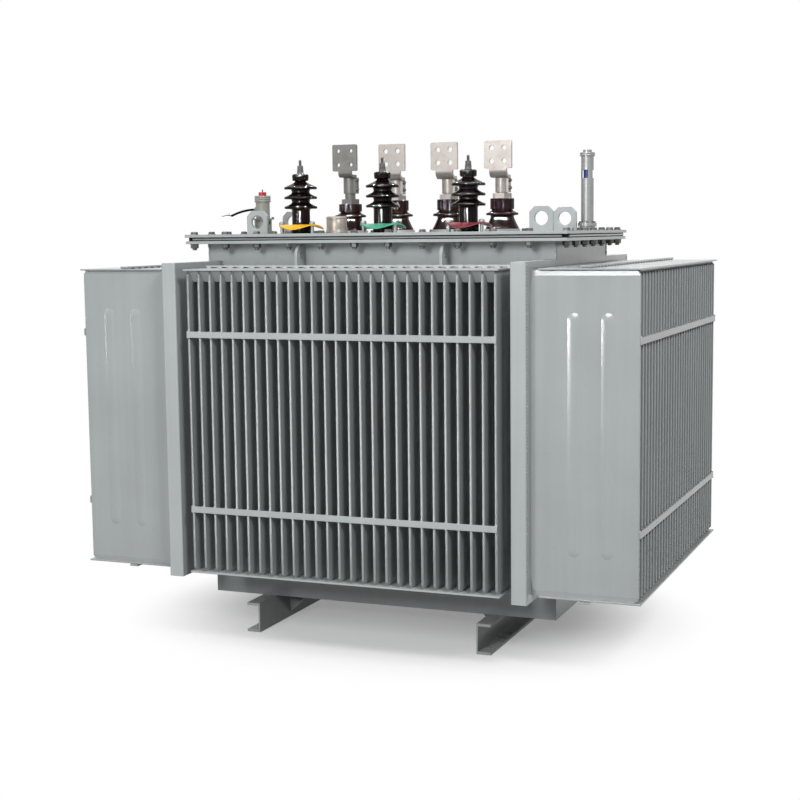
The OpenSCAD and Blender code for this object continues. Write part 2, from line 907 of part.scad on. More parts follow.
// The collar has upright flutes all round
module lv_porcelain(x, collar_z) {
    color("#3c1e1e")
        translate([x, lv_y, lv_seat])
            difference() {
                rotate_extrude()
                    lv_outline(collar_z);
                for (k = [0 : lv_flutes - 1])
                    rotate([0, 0, k*360/lv_flutes])
                        translate([lv_collar_r, 0, lv_collar_bottom - cut])
                            cylinder(r = lv_flute_r, h = collar_z);
            }
}

module neutral_lv_bushing() lv_porcelain(lv_places[0], neutral_collar_z);
module left_lv_bushing() lv_porcelain(lv_places[1], lv_collar_z);
module middle_lv_bushing() lv_porcelain(lv_places[2], lv_collar_z);
module right_lv_bushing() lv_porcelain(lv_places[3], lv_collar_z);

// Bent bar under a flag, seen from its side: a shelf on the barrel, a bend and an upright neck
module flag_bend_outline(shelf_z, bend) {
    inner = bend - flag_t/2;
    outer = bend + flag_t/2;
    front = -flag_set - flag_t/2;
    translate([front + outer, shelf_z])
        square([-front - outer, flag_t]);
    translate([front, shelf_z + outer])
        square([flag_t, flag_neck_h + flag_round]);
    translate([front + outer, shelf_z + outer])
        intersection() {
            difference() {
                circle(outer);
                circle(inner);
            }
            translate([-outer, -outer])
                square(outer);
        }
}

// Stud with its nut, the clamp barrel on it, and the flag that the barrel carries
module lv_flag(x, tint, neutral) {
    collar_z = neutral ? neutral_collar_z : lv_collar_z;
    stud_gap = neutral ? neutral_stud_gap : lv_stud_gap;
    clamp_h = neutral ? neutral_barrel_h : barrel_h;
    bend = neutral ? neutral_bend : flag_bend;
    neck_w = neutral ? neutral_neck_w : flag_neck_w;
    width = neutral ? neutral_flag_w : flag_w;
    height = neutral ? neutral_flag_w : flag_h;
    pitch = neutral ? neutral_pitch : flag_pitch;
    hole = neutral ? neutral_hole : flag_hole;
    barrel_z = lv_nut_h + stud_gap;
    shelf_z = barrel_z + clamp_h;
    flag_z = shelf_z + flag_t/2 + bend + flag_neck_h;
    color(tint)
        translate([x, lv_y, lv_seat + collar_z]) {
            hexagon_nut(lv_nut, lv_nut_h);
            cylinder(d = lv_stud, h = shelf_z);
            difference() {
                translate([0, 0, barrel_z]) {
                    cylinder(r = barrel_r, h = clamp_h + flag_t);
                    translate([0, -ear_w/2, 0])
                        cube([barrel_r + ear_reach, ear_w, clamp_h]);
                }
                translate([lv_stud/2, -barrel_slit/2, barrel_z - cut])
                    cube([barrel_r + 2*ear_reach, barrel_slit, clamp_h + cut]);
            }
            translate([-neck_w/2, 0, 0])
                rotate([90, 0, 90])
                    linear_extrude(neck_w)
                        flag_bend_outline(shelf_z, bend);
            translate([0, -flag_set + flag_t/2, flag_z + height/2])
                rotate([90, 0, 0])
                    difference() {
                        linear_extrude(flag_t)
                            rounded_rectangle(width, height, flag_round);
                        for (u = [-pitch/2, pitch/2], v = [-pitch/2, pitch/2])
                            translate([u, v, -cut])
                                cylinder(d = hole, h = flag_t + 2*cut);
                    }
        }
}

module neutral_flag() lv_flag(lv_places[0], "#8f8d89", true);

module phase_flag(i) lv_flag(lv_places[i], tinned, false);

module left_flag() phase_flag(1);
module middle_flag() phase_flag(2);
module right_flag() phase_flag(3);

// Fittings on the cover

module relief_valve() {
    color("#8e9290")
        translate([valve_x, valve_y, deck]) {
            cylinder(r = valve_foot_r, h = valve_foot_h);
            cylinder(r = valve_base_r, h = valve_base_h);
            translate([0, 0, valve_base_h])
                cylinder(r = valve_foot_r, h = valve_lip_t);
            cylinder(r = valve_r, h = valve_h);
            translate([0, 0, valve_h - valve_collar_h])
                cylinder(r = valve_collar_r, h = valve_collar_h);
            translate([0, 0, gland_z])
                rotate([0, -90, 0])
                    cylinder(r = gland_r, h = valve_r + gland_len);
        }
}

module relief_valve_cap() {
    color("#b03040")
        translate([valve_x, valve_y, deck + valve_h]) {
            cylinder(r = valve_cap_r, h = valve_cap_h);
            cylinder(r = valve_pin_r, h = valve_cap_h + valve_pin_h);
        }
}

// Route of the signal cable from its gland, along -X and drooping
lead_start = [valve_x - valve_r - gland_len, valve_y, deck + gland_z];
lead_steps = [
    [0, 0, 0], [-6, 0, -0.1], [-12, 0, -0.3], [-18, 0, -0.7], [-24, 0, -1.3], [-30, 0, -2.1],
    [-36, 0, -3], [-42, 0, -4.1], [-48, 0, -5.3], [-54, 0, -6.7], [-60, 0, -8.3], [-66, 0, -10],
    [-72, 0, -11.9], [-78, 0, -14], [-84, 0, -16.2], [-90, 0, -18.6], [-96, 0, -21.1]];

function lead_tangent(i) =
    let (
        a = lead_steps[max(i - 1, 0)],
        b = lead_steps[min(i + 1, len(lead_steps) - 1)])
        (b - a)/norm(b - a);

function lead_ring(i, sides) =
    let (t = lead_tangent(i), up = [-t[2], 0, t[0]])
        [for (k = [0 : sides - 1])
            lead_start + lead_steps[i]
                + lead_d/2*(cos(k*360/sides)*[0, 1, 0] + sin(k*360/sides)*up)];

module signal_lead() {
    sides = 10;
    rings = len(lead_steps);
    points = [for (i = [0 : rings - 1]) each lead_ring(i, sides)];
    walls = [
        for (i = [0 : rings - 2], k = [0 : sides - 1])
            let (m = (k + 1) % sides)
                [i*sides + k, (i + 1)*sides + k, (i + 1)*sides + m, i*sides + m]];
    ends = [
        [for (k = [0 : sides - 1]) k],
        [for (k = [sides - 1 : -1 : 0]) (rings - 1)*sides + k]];
    color(rubber)
        polyhedron(points, concat(walls, ends));
}

module filler_cap() {
    color("#a09689")
        translate([filler_x, filler_y, deck])
            rotate_extrude() {
                square([filler_r + filler_foot, filler_foot_h]);
                square([filler_r, filler_h - filler_round]);
                square([filler_r - filler_round, filler_h]);
                translate([filler_r - filler_round, filler_h - filler_round])
                    circle(filler_round);
            }
}

gauge_bore = gauge_r - gauge_wall;

// Tube with a foot flange, a collar and a cap; three sight windows open round it
module level_gauge() {
    color("#9c9d9b")
        translate([gauge_x, gauge_y, deck]) {
            difference() {
                union() {
                    cylinder(r = gauge_boss_r, h = gauge_boss_h);
                    translate([0, 0, gauge_boss_h])
                        cylinder(r = gauge_foot_r, h = gauge_foot_h);
                    cylinder(r = gauge_r, h = gauge_h);
                    translate([0, 0, gauge_h]) {
                        cylinder(r = gauge_r + gauge_collar, h = gauge_collar_h);
                        cylinder(r = gauge_cap_r, h = gauge_cap_h);
                    }
                }
                translate([0, 0, window_z - cut])
                    cylinder(r = gauge_bore, h = window_h + 2*cut);
                for (a = [0, 120, 240])
                    rotate([0, 0, window_turn + a])
                        translate([0, -window_w/2, window_z])
                            cube([gauge_r + cut, window_w, window_h]);
            }
        }
}

module level_float() {
    color("#1e2f8c")
        translate([gauge_x, gauge_y, deck + window_z - cut])
            cylinder(r = float_r, h = window_h + 2*cut);
}

left_base_channel();
right_base_channel();
tank_floor();
tank_front_wall();
tank_back_wall();
tank_left_wall();
tank_right_wall();
front_left_corner_box();
front_right_corner_box();
back_left_corner_box();
back_right_corner_box();
front_fins();
back_fins();
left_fins();
right_fins();
front_fin_braces();
back_fin_braces();
left_fin_braces();
right_fin_braces();
hauling_lugs();
rim_flange();
cover_gasket();
gasket_strips();
cover_plate();
lifting_lugs();
left_hv_bushing();
middle_hv_bushing();
right_hv_bushing();
left_hv_clamp();
middle_hv_clamp();
right_hv_clamp();
clamp_studs();
hv_terminals();
neutral_lv_bushing();
left_lv_bushing();
middle_lv_bushing();
right_lv_bushing();
neutral_flag();
left_flag();
middle_flag();
right_flag();
relief_valve();
relief_valve_cap();
signal_lead();
filler_cap();
level_gauge();
level_float();
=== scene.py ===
# %% [markdown]
# # An oil-filled power transformer
#
# The transformer is a steel tank on two channels. Thin pressed fins cool the oil, a bolted cover closes
# the tank, and porcelain bushings carry the conductors through the cover. The solid model already gives
# every piece its place and size. This lesson dresses it: paint, glaze and metal, and then the small
# things that show how it was put together, such as bolts, weld seams, plugs and the wire ends.

# %% Load the solid model
import json
import math
import random

import bpy
from mathutils import Matrix, Vector


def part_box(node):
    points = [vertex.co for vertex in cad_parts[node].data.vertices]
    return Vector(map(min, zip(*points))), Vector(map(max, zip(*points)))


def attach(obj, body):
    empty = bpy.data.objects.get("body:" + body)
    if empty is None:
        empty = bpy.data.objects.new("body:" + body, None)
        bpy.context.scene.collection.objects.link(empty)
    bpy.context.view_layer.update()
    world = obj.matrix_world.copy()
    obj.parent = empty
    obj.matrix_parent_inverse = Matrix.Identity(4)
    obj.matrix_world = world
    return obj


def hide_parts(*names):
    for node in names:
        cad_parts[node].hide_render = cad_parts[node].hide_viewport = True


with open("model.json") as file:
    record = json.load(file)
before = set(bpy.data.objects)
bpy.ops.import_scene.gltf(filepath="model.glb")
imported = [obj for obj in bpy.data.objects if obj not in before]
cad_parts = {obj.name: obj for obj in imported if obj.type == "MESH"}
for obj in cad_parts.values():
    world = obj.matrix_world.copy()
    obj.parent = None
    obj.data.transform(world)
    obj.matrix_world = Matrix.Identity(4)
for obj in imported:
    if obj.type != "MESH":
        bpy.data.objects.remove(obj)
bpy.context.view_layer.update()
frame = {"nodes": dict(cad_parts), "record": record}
nodes = frame["nodes"]

# %% [markdown]
# ## Camera
#
# The viewpoint was worked out from the picture's perspective: the camera stands at the height of the
# cover, so the cover shows edge on. A camera's rotation is three axes: right, up and backwards. They are
# built from the heading, the tilt and a small roll, and written as the columns of a matrix.

# %% Camera
CAMERA_PLACE = Vector((1.9148, -4.8261, 1.3439))
CAMERA_HEADING = math.radians(22.09)
CAMERA_TILT = math.radians(6.44)
CAMERA_ROLL = math.radians(-0.66)
SENSOR_MM = 36.0
LENS_MM = 67.07


def camera_axes(heading, tilt, roll):
    forward = Vector((
        -math.sin(heading)*math.cos(tilt), math.cos(heading)*math.cos(tilt), -math.sin(tilt)))
    level = Vector((math.cos(heading), math.sin(heading), 0.0))
    upright = level.cross(forward)
    right = math.cos(roll)*level + math.sin(roll)*upright
    up = math.cos(roll)*upright - math.sin(roll)*level
    return right, up, -forward


camera_data = bpy.data.cameras.new("camera")
camera_data.sensor_width = SENSOR_MM
camera_data.lens = LENS_MM
camera = bpy.data.objects.new("camera", camera_data)
bpy.context.scene.collection.objects.link(camera)
camera_turn = Matrix(camera_axes(CAMERA_HEADING, CAMERA_TILT, CAMERA_ROLL)).transposed().to_4x4()
camera.matrix_world = Matrix.Translation(CAMERA_PLACE) @ camera_turn
bpy.context.scene.camera = camera
print("camera at", tuple(round(v, 3) for v in CAMERA_PLACE))

# %% [markdown]
# ## Modelling helpers
#
# Every piece below starts as a primitive and is shaped in edit mode, as it would be by hand. Operators
# act on whatever is selected, so each piece starts with nothing selected, and faces are then picked in
# code by their place or by the way they point. At the end the object's own place is applied to its mesh.
# Blender works in metres and a workshop in millimetres, so sizes are written in millimetres and
# multiplied by MM.

# %% Selecting and settling
MM = 0.001


def start(add, **settings):
    bpy.ops.object.select_all(action="DESELECT")
    add(**settings)
    return bpy.context.object


def pick(piece, kind, wanted):
    """Leaves the piece in edit mode with only the wanted faces or points selected."""
    bpy.ops.object.mode_set(mode="EDIT")
    bpy.ops.mesh.select_mode(type=kind)
    bpy.ops.mesh.select_all(action="DESELECT")
    bpy.ops.object.mode_set(mode="OBJECT")
    for part in piece.data.polygons if kind == "FACE" else piece.data.vertices:
        part.select = wanted(part)
    bpy.ops.object.mode_set(mode="EDIT")


def settle(piece, name, smooth_angle=35):
    """Ends edit mode, puts the piece's place in its mesh and smooths its gentle edges."""
    bpy.ops.object.mode_set(mode="OBJECT")
    bpy.ops.object.select_all(action="DESELECT")
    piece.select_set(True)
    bpy.context.view_layer.objects.active = piece
    bpy.ops.object.transform_apply(location=True, rotation=True, scale=True)
    bpy.ops.object.shade_smooth_by_angle(angle=math.radians(smooth_angle))
    piece.name = name
    return piece


print("sizes in units of", MM, "m")


# %% Copying and joining
def join(pieces, name):
    bpy.ops.object.select_all(action="DESELECT")
    for piece in pieces:
        piece.select_set(True)
    bpy.context.view_layer.objects.active = pieces[0]
    if len(pieces) > 1:
        bpy.ops.object.join()
    return settle(pieces[0], name)


def repeat(model, places, name):
    """One copy of the model, with its own mesh, at each place; the copies become one piece."""
    copies = []
    for place in places:
        copy = model.copy()
        copy.data = model.data.copy()
        copy.matrix_world = place
        bpy.context.scene.collection.objects.link(copy)
        copies.append(copy)
    bpy.data.objects.remove(model)
    return join(copies, name)


def at(x, y, z, turn_z=0.0):
    """A place in millimetres, turned about the upright axis."""
    return Matrix.Translation((x*MM, y*MM, z*MM)) @ Matrix.Rotation(turn_z, 4, "Z")


def side_of(name, end, axis):
    """One side of a solid's box in millimetres; end 0 is the low side and 1 the high one."""
    return round(getattr(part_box(name)[end], axis)/MM, 1)


DECK = side_of("relief_valve", 0, "z")
print("the fittings stand on the cover at", DECK, "mm")

# %% [markdown]
# ## Shared finishes
#
# Several materials share the same habits: paint gathers a little dust and dries unevenly, metal is
# stained and finely scratched, and glaze ripples. Each habit is a node group with named sockets, so that
# every material can use it with its own numbers. The patterns read Object coordinates. These are metres
# here, so a noise scale of 4 gives clouds of about a quarter of a metre.

# %% Node helpers
def node(tree, kind, x=0, y=0, **settings):
    made = tree.nodes.new(kind)
    made.location = (x, y)
    for key, value in settings.items():
        setattr(made, key, value)
    return made


def link(tree, source, target):
    tree.links.new(source, target)


def new_group(name, inputs, outputs):
    """A shader node group with its sockets; inputs maps names to kinds and first values."""
    group = bpy.data.node_groups.new(name, "ShaderNodeTree")
    for socket, (kind, value) in inputs.items():
        made = group.interface.new_socket(socket, in_out="INPUT", socket_type=kind)
        made.default_value = value
    for socket, kind in outputs.items():
        group.interface.new_socket(socket, in_out="OUTPUT", socket_type=kind)
    entry = node(group, "NodeGroupInput", -1400, 0)
    leave = node(group, "NodeGroupOutput", 900, 0)
    return group, entry, leave


def noise(tree, scale, detail, x, y, stretch=None):
    """Noise over Object coordinates; stretch multiplies the three axes."""
    place = node(tree, "ShaderNodeTexCoord", x - 400, y)
    made = node(tree, "ShaderNodeTexNoise", x, y)
    made.inputs["Scale"].default_value = scale
    made.inputs["Detail"].default_value = detail
    source = place.outputs["Object"]
    if stretch:
        turn = node(tree, "ShaderNodeMapping", x - 200, y)
        turn.inputs["Scale"].default_value = stretch
        link(tree, source, turn.inputs["Vector"])
        source = turn.outputs["Vector"]
    link(tree, source, made.inputs["Vector"])
    return made.outputs["Fac"]


# %% Node sums
def span(tree, source, low, high, to_low, to_high, x, y):
    """Maps the span low to high onto another span, and holds it there."""
    made = node(tree, "ShaderNodeMapRange", x, y)
    for socket, value in zip(("From Min", "From Max", "To Min", "To Max"), (low, high, to_low, to_high)):
        made.inputs[socket].default_value = value
    link(tree, source, made.inputs["Value"])
    return made.outputs["Result"]


def sums(tree, operation, first, second, x, y):
    made = node(tree, "ShaderNodeMath", x, y, operation=operation)
    for socket, value in zip(made.inputs, (first, second)):
        if isinstance(value, float):
            socket.default_value = value
        else:
            link(tree, value, socket)
    return made.outputs["Value"]


def blend(tree, kind, factor, first, second, x, y):
    """Mixes two colours; a factor or colour is a socket or a plain value."""
    made = node(tree, "ShaderNodeMix", x, y, data_type="RGBA", blend_type=kind)
    sockets = (made.inputs[0], made.inputs[6], made.inputs[7])
    for socket, value in zip(sockets, (factor, first, second)):
        if isinstance(value, (float, tuple)):
            socket.default_value = value
        else:
            link(tree, value, socket)
    return made.outputs[2]


# %% [markdown]
# ### Paint
#
# Sprayed paint is never quite even. It is a little lighter and darker in clouds, faint runs hang down
# upright faces, dust settles on what faces up, and a few specks are caught in the film. The fine noise is
# the orange-peel skin that breaks up a reflection.

# %% Paint group
paint_group, entry, leave = new_group(
    "sprayed_paint",
    {"Colour": ("NodeSocketColor", (0.4, 0.4, 0.4, 1.0)),
     "Dust Colour": ("NodeSocketColor", (0.5, 0.48, 0.44, 1.0)),
     "Unevenness": ("NodeSocketFloat", 0.08),
     "Dust": ("NodeSocketFloat", 0.25),
     "Gloss Roughness": ("NodeSocketFloat", 0.36)},
    {"Colour": "NodeSocketColor", "Roughness": "NodeSocketFloat", "Height": "NodeSocketFloat"})
clouds = noise(paint_group, 3.5, 4.0, -900, 500)
runs = noise(paint_group, 1.0, 3.0, -900, 250, stretch=(38.0, 38.0, 1.3))
peel = noise(paint_group, 420.0, 2.0, -900, 0)
specks = noise(paint_group, 95.0, 1.0, -900, -250)
patches = noise(paint_group, 22.0, 4.0, -900, -500)
cloud_shade = span(paint_group, clouds, 0.3, 0.7, -1.0, 1.0, -650, 500)
run_shade = span(paint_group, runs, 0.3, 0.7, -0.6, 0.6, -650, 250)
both = sums(paint_group, "ADD", cloud_shade, run_shade, -450, 400)
swing = sums(paint_group, "MULTIPLY", both, entry.outputs["Unevenness"], -250, 400)
shade = sums(paint_group, "ADD", swing, 1.0, -50, 400)
grey = node(paint_group, "ShaderNodeCombineColor", 120, 400)
for channel in grey.inputs:
    link(paint_group, shade, channel)
toned = blend(paint_group, "MULTIPLY", 1.0, entry.outputs["Colour"], grey.outputs["Color"], 300, 400)
print("paint tones:", len(paint_group.nodes), "nodes")

# %% Dust, specks and gloss of the paint
SPECK_SHADE = (0.45, 0.42, 0.38, 1.0)

facing = node(paint_group, "ShaderNodeNewGeometry", -900, -750)
axes = node(paint_group, "ShaderNodeSeparateXYZ", -700, -750)
link(paint_group, facing.outputs["Normal"], axes.inputs["Vector"])
level = span(paint_group, axes.outputs["Z"], 0.4, 0.95, 0.0, 1.0, -500, -750)
spotted = span(paint_group, patches, 0.35, 0.7, 0.25, 1.0, -500, -500)
settled = sums(paint_group, "MULTIPLY", level, spotted, -300, -600)
dust = sums(paint_group, "MULTIPLY", settled, entry.outputs["Dust"], -100, -600)
dusty = blend(paint_group, "MIX", dust, toned, entry.outputs["Dust Colour"], 480, 200)
speck = span(paint_group, specks, 0.76, 0.80, 0.0, 0.25, -500, -250)
flecked = blend(paint_group, "MULTIPLY", speck, dusty, SPECK_SHADE, 660, 200)
peel_rough = span(paint_group, clouds, 0.25, 0.75, -0.05, 0.05, -450, 0)
rough = sums(paint_group, "ADD", peel_rough, entry.outputs["Gloss Roughness"], -250, 0)
dull = sums(paint_group, "MULTIPLY", dust, 0.5, 100, -300)
roughness = sums(paint_group, "ADD", rough, dull, 300, -200)
link(paint_group, flecked, leave.inputs["Colour"])
link(paint_group, roughness, leave.inputs["Roughness"])
link(paint_group, peel, leave.inputs["Height"])
print("paint group:", len(paint_group.nodes), "nodes")

# %% [markdown]
# ### Bare and plated metal
#
# Tin and zinc are dull, blotchy and finely brushed. Long thin noise makes the brush lines, a coarse one
# the stains that dull both the colour and the shine.

# %% Metal group
metal_group, entry, leave = new_group(
    "worn_metal",
    {"Colour": ("NodeSocketColor", (0.5, 0.5, 0.5, 1.0)),
     "Stain Colour": ("NodeSocketColor", (0.3, 0.27, 0.24, 1.0)),
     "Stain": ("NodeSocketFloat", 0.4),
     "Base Roughness": ("NodeSocketFloat", 0.4)},
    {"Colour": "NodeSocketColor", "Roughness": "NodeSocketFloat", "Height": "NodeSocketFloat"})
blotches = noise(metal_group, 34.0, 5.0, -900, 400)
brushing = noise(metal_group, 1.0, 2.0, -900, 100, stretch=(70.0, 70.0, 1400.0))
pits = noise(metal_group, 260.0, 3.0, -900, -200)
stain_mask = span(metal_group, blotches, 0.42, 0.72, 0.0, 1.0, -650, 400)
stained = sums(metal_group, "MULTIPLY", stain_mask, entry.outputs["Stain"], -450, 400)
pitted = span(metal_group, pits, 0.55, 0.75, 0.0, 0.35, -650, -200)
spoiled = sums(metal_group, "MAXIMUM", stained, pitted, -250, 300)
tarnish = blend(metal_group, "MIX", spoiled, entry.outputs["Colour"], entry.outputs["Stain Colour"], 0, 300)
brushed = span(metal_group, brushing, 0.3, 0.7, -0.08, 0.08, -650, 100)
rough = sums(metal_group, "ADD", brushed, entry.outputs["Base Roughness"], -250, 0)
dull = sums(metal_group, "MULTIPLY", spoiled, 0.25, -50, 0)
roughness = sums(metal_group, "ADD", rough, dull, 150, 0)
link(metal_group, tarnish, leave.inputs["Colour"])
link(metal_group, roughness, leave.inputs["Roughness"])
link(metal_group, brushing, leave.inputs["Height"])
print("metal group:", len(metal_group.nodes), "nodes")

# %% [markdown]
# ### Glaze and moulded skins
#
# Glaze on porcelain pools darker and thinner in soft patches and ripples slightly, so that highlights
# waver. Rubber and moulded plastic use the same group with a finer grain.

# %% Glaze group
glaze_group, entry, leave = new_group(
    "rippled_skin",
    {"Colour": ("NodeSocketColor", (0.03, 0.02, 0.02, 1.0)),
     "Thin Colour": ("NodeSocketColor", (0.08, 0.03, 0.025, 1.0)),
     "Patch Scale": ("NodeSocketFloat", 30.0),
     "Ripple Scale": ("NodeSocketFloat", 90.0),
     "Base Roughness": ("NodeSocketFloat", 0.08)},
    {"Colour": "NodeSocketColor", "Roughness": "NodeSocketFloat", "Height": "NodeSocketFloat"})
place = node(glaze_group, "ShaderNodeTexCoord", -1200, 300)
pooled = node(glaze_group, "ShaderNodeTexNoise", -900, 400)
pooled.inputs["Detail"].default_value = 3.0
ripple = node(glaze_group, "ShaderNodeTexNoise", -900, 0)
ripple.inputs["Detail"].default_value = 2.0
for made, socket in ((pooled, "Patch Scale"), (ripple, "Ripple Scale")):
    link(glaze_group, place.outputs["Object"], made.inputs["Vector"])
    link(glaze_group, entry.outputs[socket], made.inputs["Scale"])
thin = span(glaze_group, pooled.outputs["Fac"], 0.35, 0.75, 0.0, 1.0, -650, 400)
pooling = blend(glaze_group, "MIX", thin, entry.outputs["Colour"], entry.outputs["Thin Colour"], -300, 400)
wander = span(glaze_group, pooled.outputs["Fac"], 0.3, 0.7, -0.02, 0.05, -650, 150)
roughness = sums(glaze_group, "ADD", wander, entry.outputs["Base Roughness"], -300, 150)
link(glaze_group, pooling, leave.inputs["Colour"])
link(glaze_group, roughness, leave.inputs["Roughness"])
link(glaze_group, ripple.outputs["Fac"], leave.inputs["Height"])
print("glaze group:", len(glaze_group.nodes), "nodes")

# %% [markdown]
# ## Materials
#
# A material is one shader fed by one of the groups. Values that are the same all over, such as how
# metallic it is, are set on the shader itself. The colours are written as linear light. Folded sheet and
# sawn plate have no knife-sharp edges, and the thin line of light along an edge is what tells steel from
# card. A Bevel node bends the normals near an edge, so the solid pieces get that line without more faces.

# %% Material maker
EDGE_SAMPLES = 6
materials = {}


def finish_material(name, group, values, bump_depth, bump=0.3, edge=0.0, **shader_values):
    """Keeps a Principled material whose colour, roughness and bump come from a group."""
    material = bpy.data.materials.new(name)
    material.use_nodes = True
    tree = material.node_tree
    tree.nodes.clear()
    skin = node(tree, "ShaderNodeGroup", -500, 0, node_tree=group)
    for socket, value in values.items():
        skin.inputs[socket].default_value = value
    shader = node(tree, "ShaderNodeBsdfPrincipled", 0, 0)
    for socket, value in shader_values.items():
        shader.inputs[socket.replace("_", " ")].default_value = value
    relief = node(tree, "ShaderNodeBump", -250, -300)
    relief.inputs["Strength"].default_value = bump
    relief.inputs["Distance"].default_value = bump_depth
    if edge:
        rounding = node(tree, "ShaderNodeBevel", -500, -500, samples=EDGE_SAMPLES)
        rounding.inputs["Radius"].default_value = edge
        link(tree, rounding.outputs["Normal"], relief.inputs["Normal"])
    output = node(tree, "ShaderNodeOutputMaterial", 300, 0)
    link(tree, skin.outputs["Colour"], shader.inputs["Base Color"])
    link(tree, skin.outputs["Roughness"], shader.inputs["Roughness"])
    link(tree, skin.outputs["Height"], relief.inputs["Height"])
    link(tree, relief.outputs["Normal"], shader.inputs["Normal"])
    link(tree, shader.outputs["BSDF"], output.inputs["Surface"])
    materials[name] = material


# %% [markdown]
# ### Paints
#
# The tank and all that is welded to it are sprayed in one light grey. Yellow, green and red mark the
# clamp plates of the three tall bushings. The filler cap and the relief valve have flatter, warmer coats
# of their own.

# %% Paints
finish_material(
    "grey_paint", paint_group,
    {"Colour": (0.372, 0.402, 0.400, 1.0), "Dust Colour": (0.47, 0.46, 0.43, 1.0),
     "Unevenness": 0.05, "Dust": 0.35, "Gloss Roughness": 0.19},
    bump_depth=0.0003, bump=0.2, edge=0.0022)
finish_material(
    "yellow_paint", paint_group,
    {"Colour": (0.90, 0.48, 0.010, 1.0), "Unevenness": 0.06, "Dust": 0.04, "Gloss Roughness": 0.22},
    bump_depth=0.0003, Specular_IOR_Level=0.25)
finish_material(
    "green_paint", paint_group,
    {"Colour": (0.055, 0.37, 0.235, 1.0), "Unevenness": 0.06, "Dust": 0.06, "Gloss Roughness": 0.2},
    bump_depth=0.0003)
finish_material(
    "red_paint", paint_group,
    {"Colour": (0.235, 0.022, 0.036, 1.0), "Unevenness": 0.08, "Dust": 0.05, "Gloss Roughness": 0.2},
    bump_depth=0.0003)
finish_material(
    "cap_metal", paint_group,
    {"Colour": (0.335, 0.298, 0.262, 1.0), "Dust Colour": (0.44, 0.41, 0.37, 1.0), "Unevenness": 0.1,
     "Dust": 0.3, "Gloss Roughness": 0.34},
    bump_depth=0.0003, Metallic=0.25)
finish_material(
    "valve_metal", paint_group,
    {"Colour": (0.255, 0.255, 0.228, 1.0), "Dust Colour": (0.36, 0.35, 0.31, 1.0), "Unevenness": 0.08,
     "Dust": 0.2, "Gloss Roughness": 0.32},
    bump_depth=0.0003)
print("paints:", ", ".join(materials))

# %% [markdown]
# ### Porcelain, rubber and plastics
#
# Dark glaze shows almost no colour of its own: it is seen by what it mirrors. Its colour is therefore
# close to black, and its roughness is low enough to keep each lamp a small bright spot. Rubber is the
# opposite, dark and quite dull. The earth wire's sheath is yellow with patches of green.

# %% Porcelain, rubber and plastics
finish_material(
    "dark_porcelain", glaze_group,
    {"Colour": (0.0035, 0.0016, 0.0016, 1.0), "Thin Colour": (0.009, 0.0035, 0.003, 1.0), "Patch Scale": 26.0,
     "Ripple Scale": 60.0, "Base Roughness": 0.035},
    bump_depth=0.0010, bump=0.15, Specular_IOR_Level=0.1)
finish_material(
    "brown_porcelain", glaze_group,
    {"Colour": (0.010, 0.0025, 0.0025, 1.0), "Thin Colour": (0.026, 0.0055, 0.005, 1.0), "Patch Scale": 26.0,
     "Ripple Scale": 60.0, "Base Roughness": 0.035},
    bump_depth=0.0010, bump=0.15, Specular_IOR_Level=0.1)
finish_material(
    "gasket_rubber", glaze_group,
    {"Colour": (0.010, 0.010, 0.011, 1.0), "Thin Colour": (0.022, 0.022, 0.022, 1.0), "Patch Scale": 60.0,
     "Ripple Scale": 500.0, "Base Roughness": 0.65},
    bump_depth=0.0004, Specular_IOR_Level=0.15)
finish_material(
    "cable_sheath", glaze_group,
    {"Colour": (0.003, 0.003, 0.0033, 1.0), "Thin Colour": (0.006, 0.006, 0.0063, 1.0), "Patch Scale": 90.0,
     "Ripple Scale": 600.0, "Base Roughness": 0.5},
    bump_depth=0.0003, Specular_IOR_Level=0.05)
finish_material(
    "earth_sheath", glaze_group,
    {"Colour": (0.16, 0.24, 0.012, 1.0), "Thin Colour": (0.42, 0.36, 0.02, 1.0), "Patch Scale": 160.0,
     "Ripple Scale": 600.0, "Base Roughness": 0.4},
    bump_depth=0.0002)
finish_material(
    "red_plastic", glaze_group,
    {"Colour": (0.38, 0.013, 0.02, 1.0), "Thin Colour": (0.46, 0.022, 0.03, 1.0), "Patch Scale": 80.0,
     "Ripple Scale": 700.0, "Base Roughness": 0.3},
    bump_depth=0.0002)
finish_material(
    "blue_plastic", glaze_group,
    {"Colour": (0.008, 0.022, 0.19, 1.0), "Thin Colour": (0.012, 0.03, 0.25, 1.0), "Patch Scale": 80.0,
     "Ripple Scale": 700.0, "Base Roughness": 0.3},
    bump_depth=0.0002)
print(len(materials), "finishes so far")

# %% [markdown]
# ### Metals
#
# Bolts are zinc plated and weather to a dark grey. The flags are copper under a layer of tin, warm and
# pale, and the neutral one is a duller grey. The gauge's tube and the clamp studs are cleaner, satin
# metal.

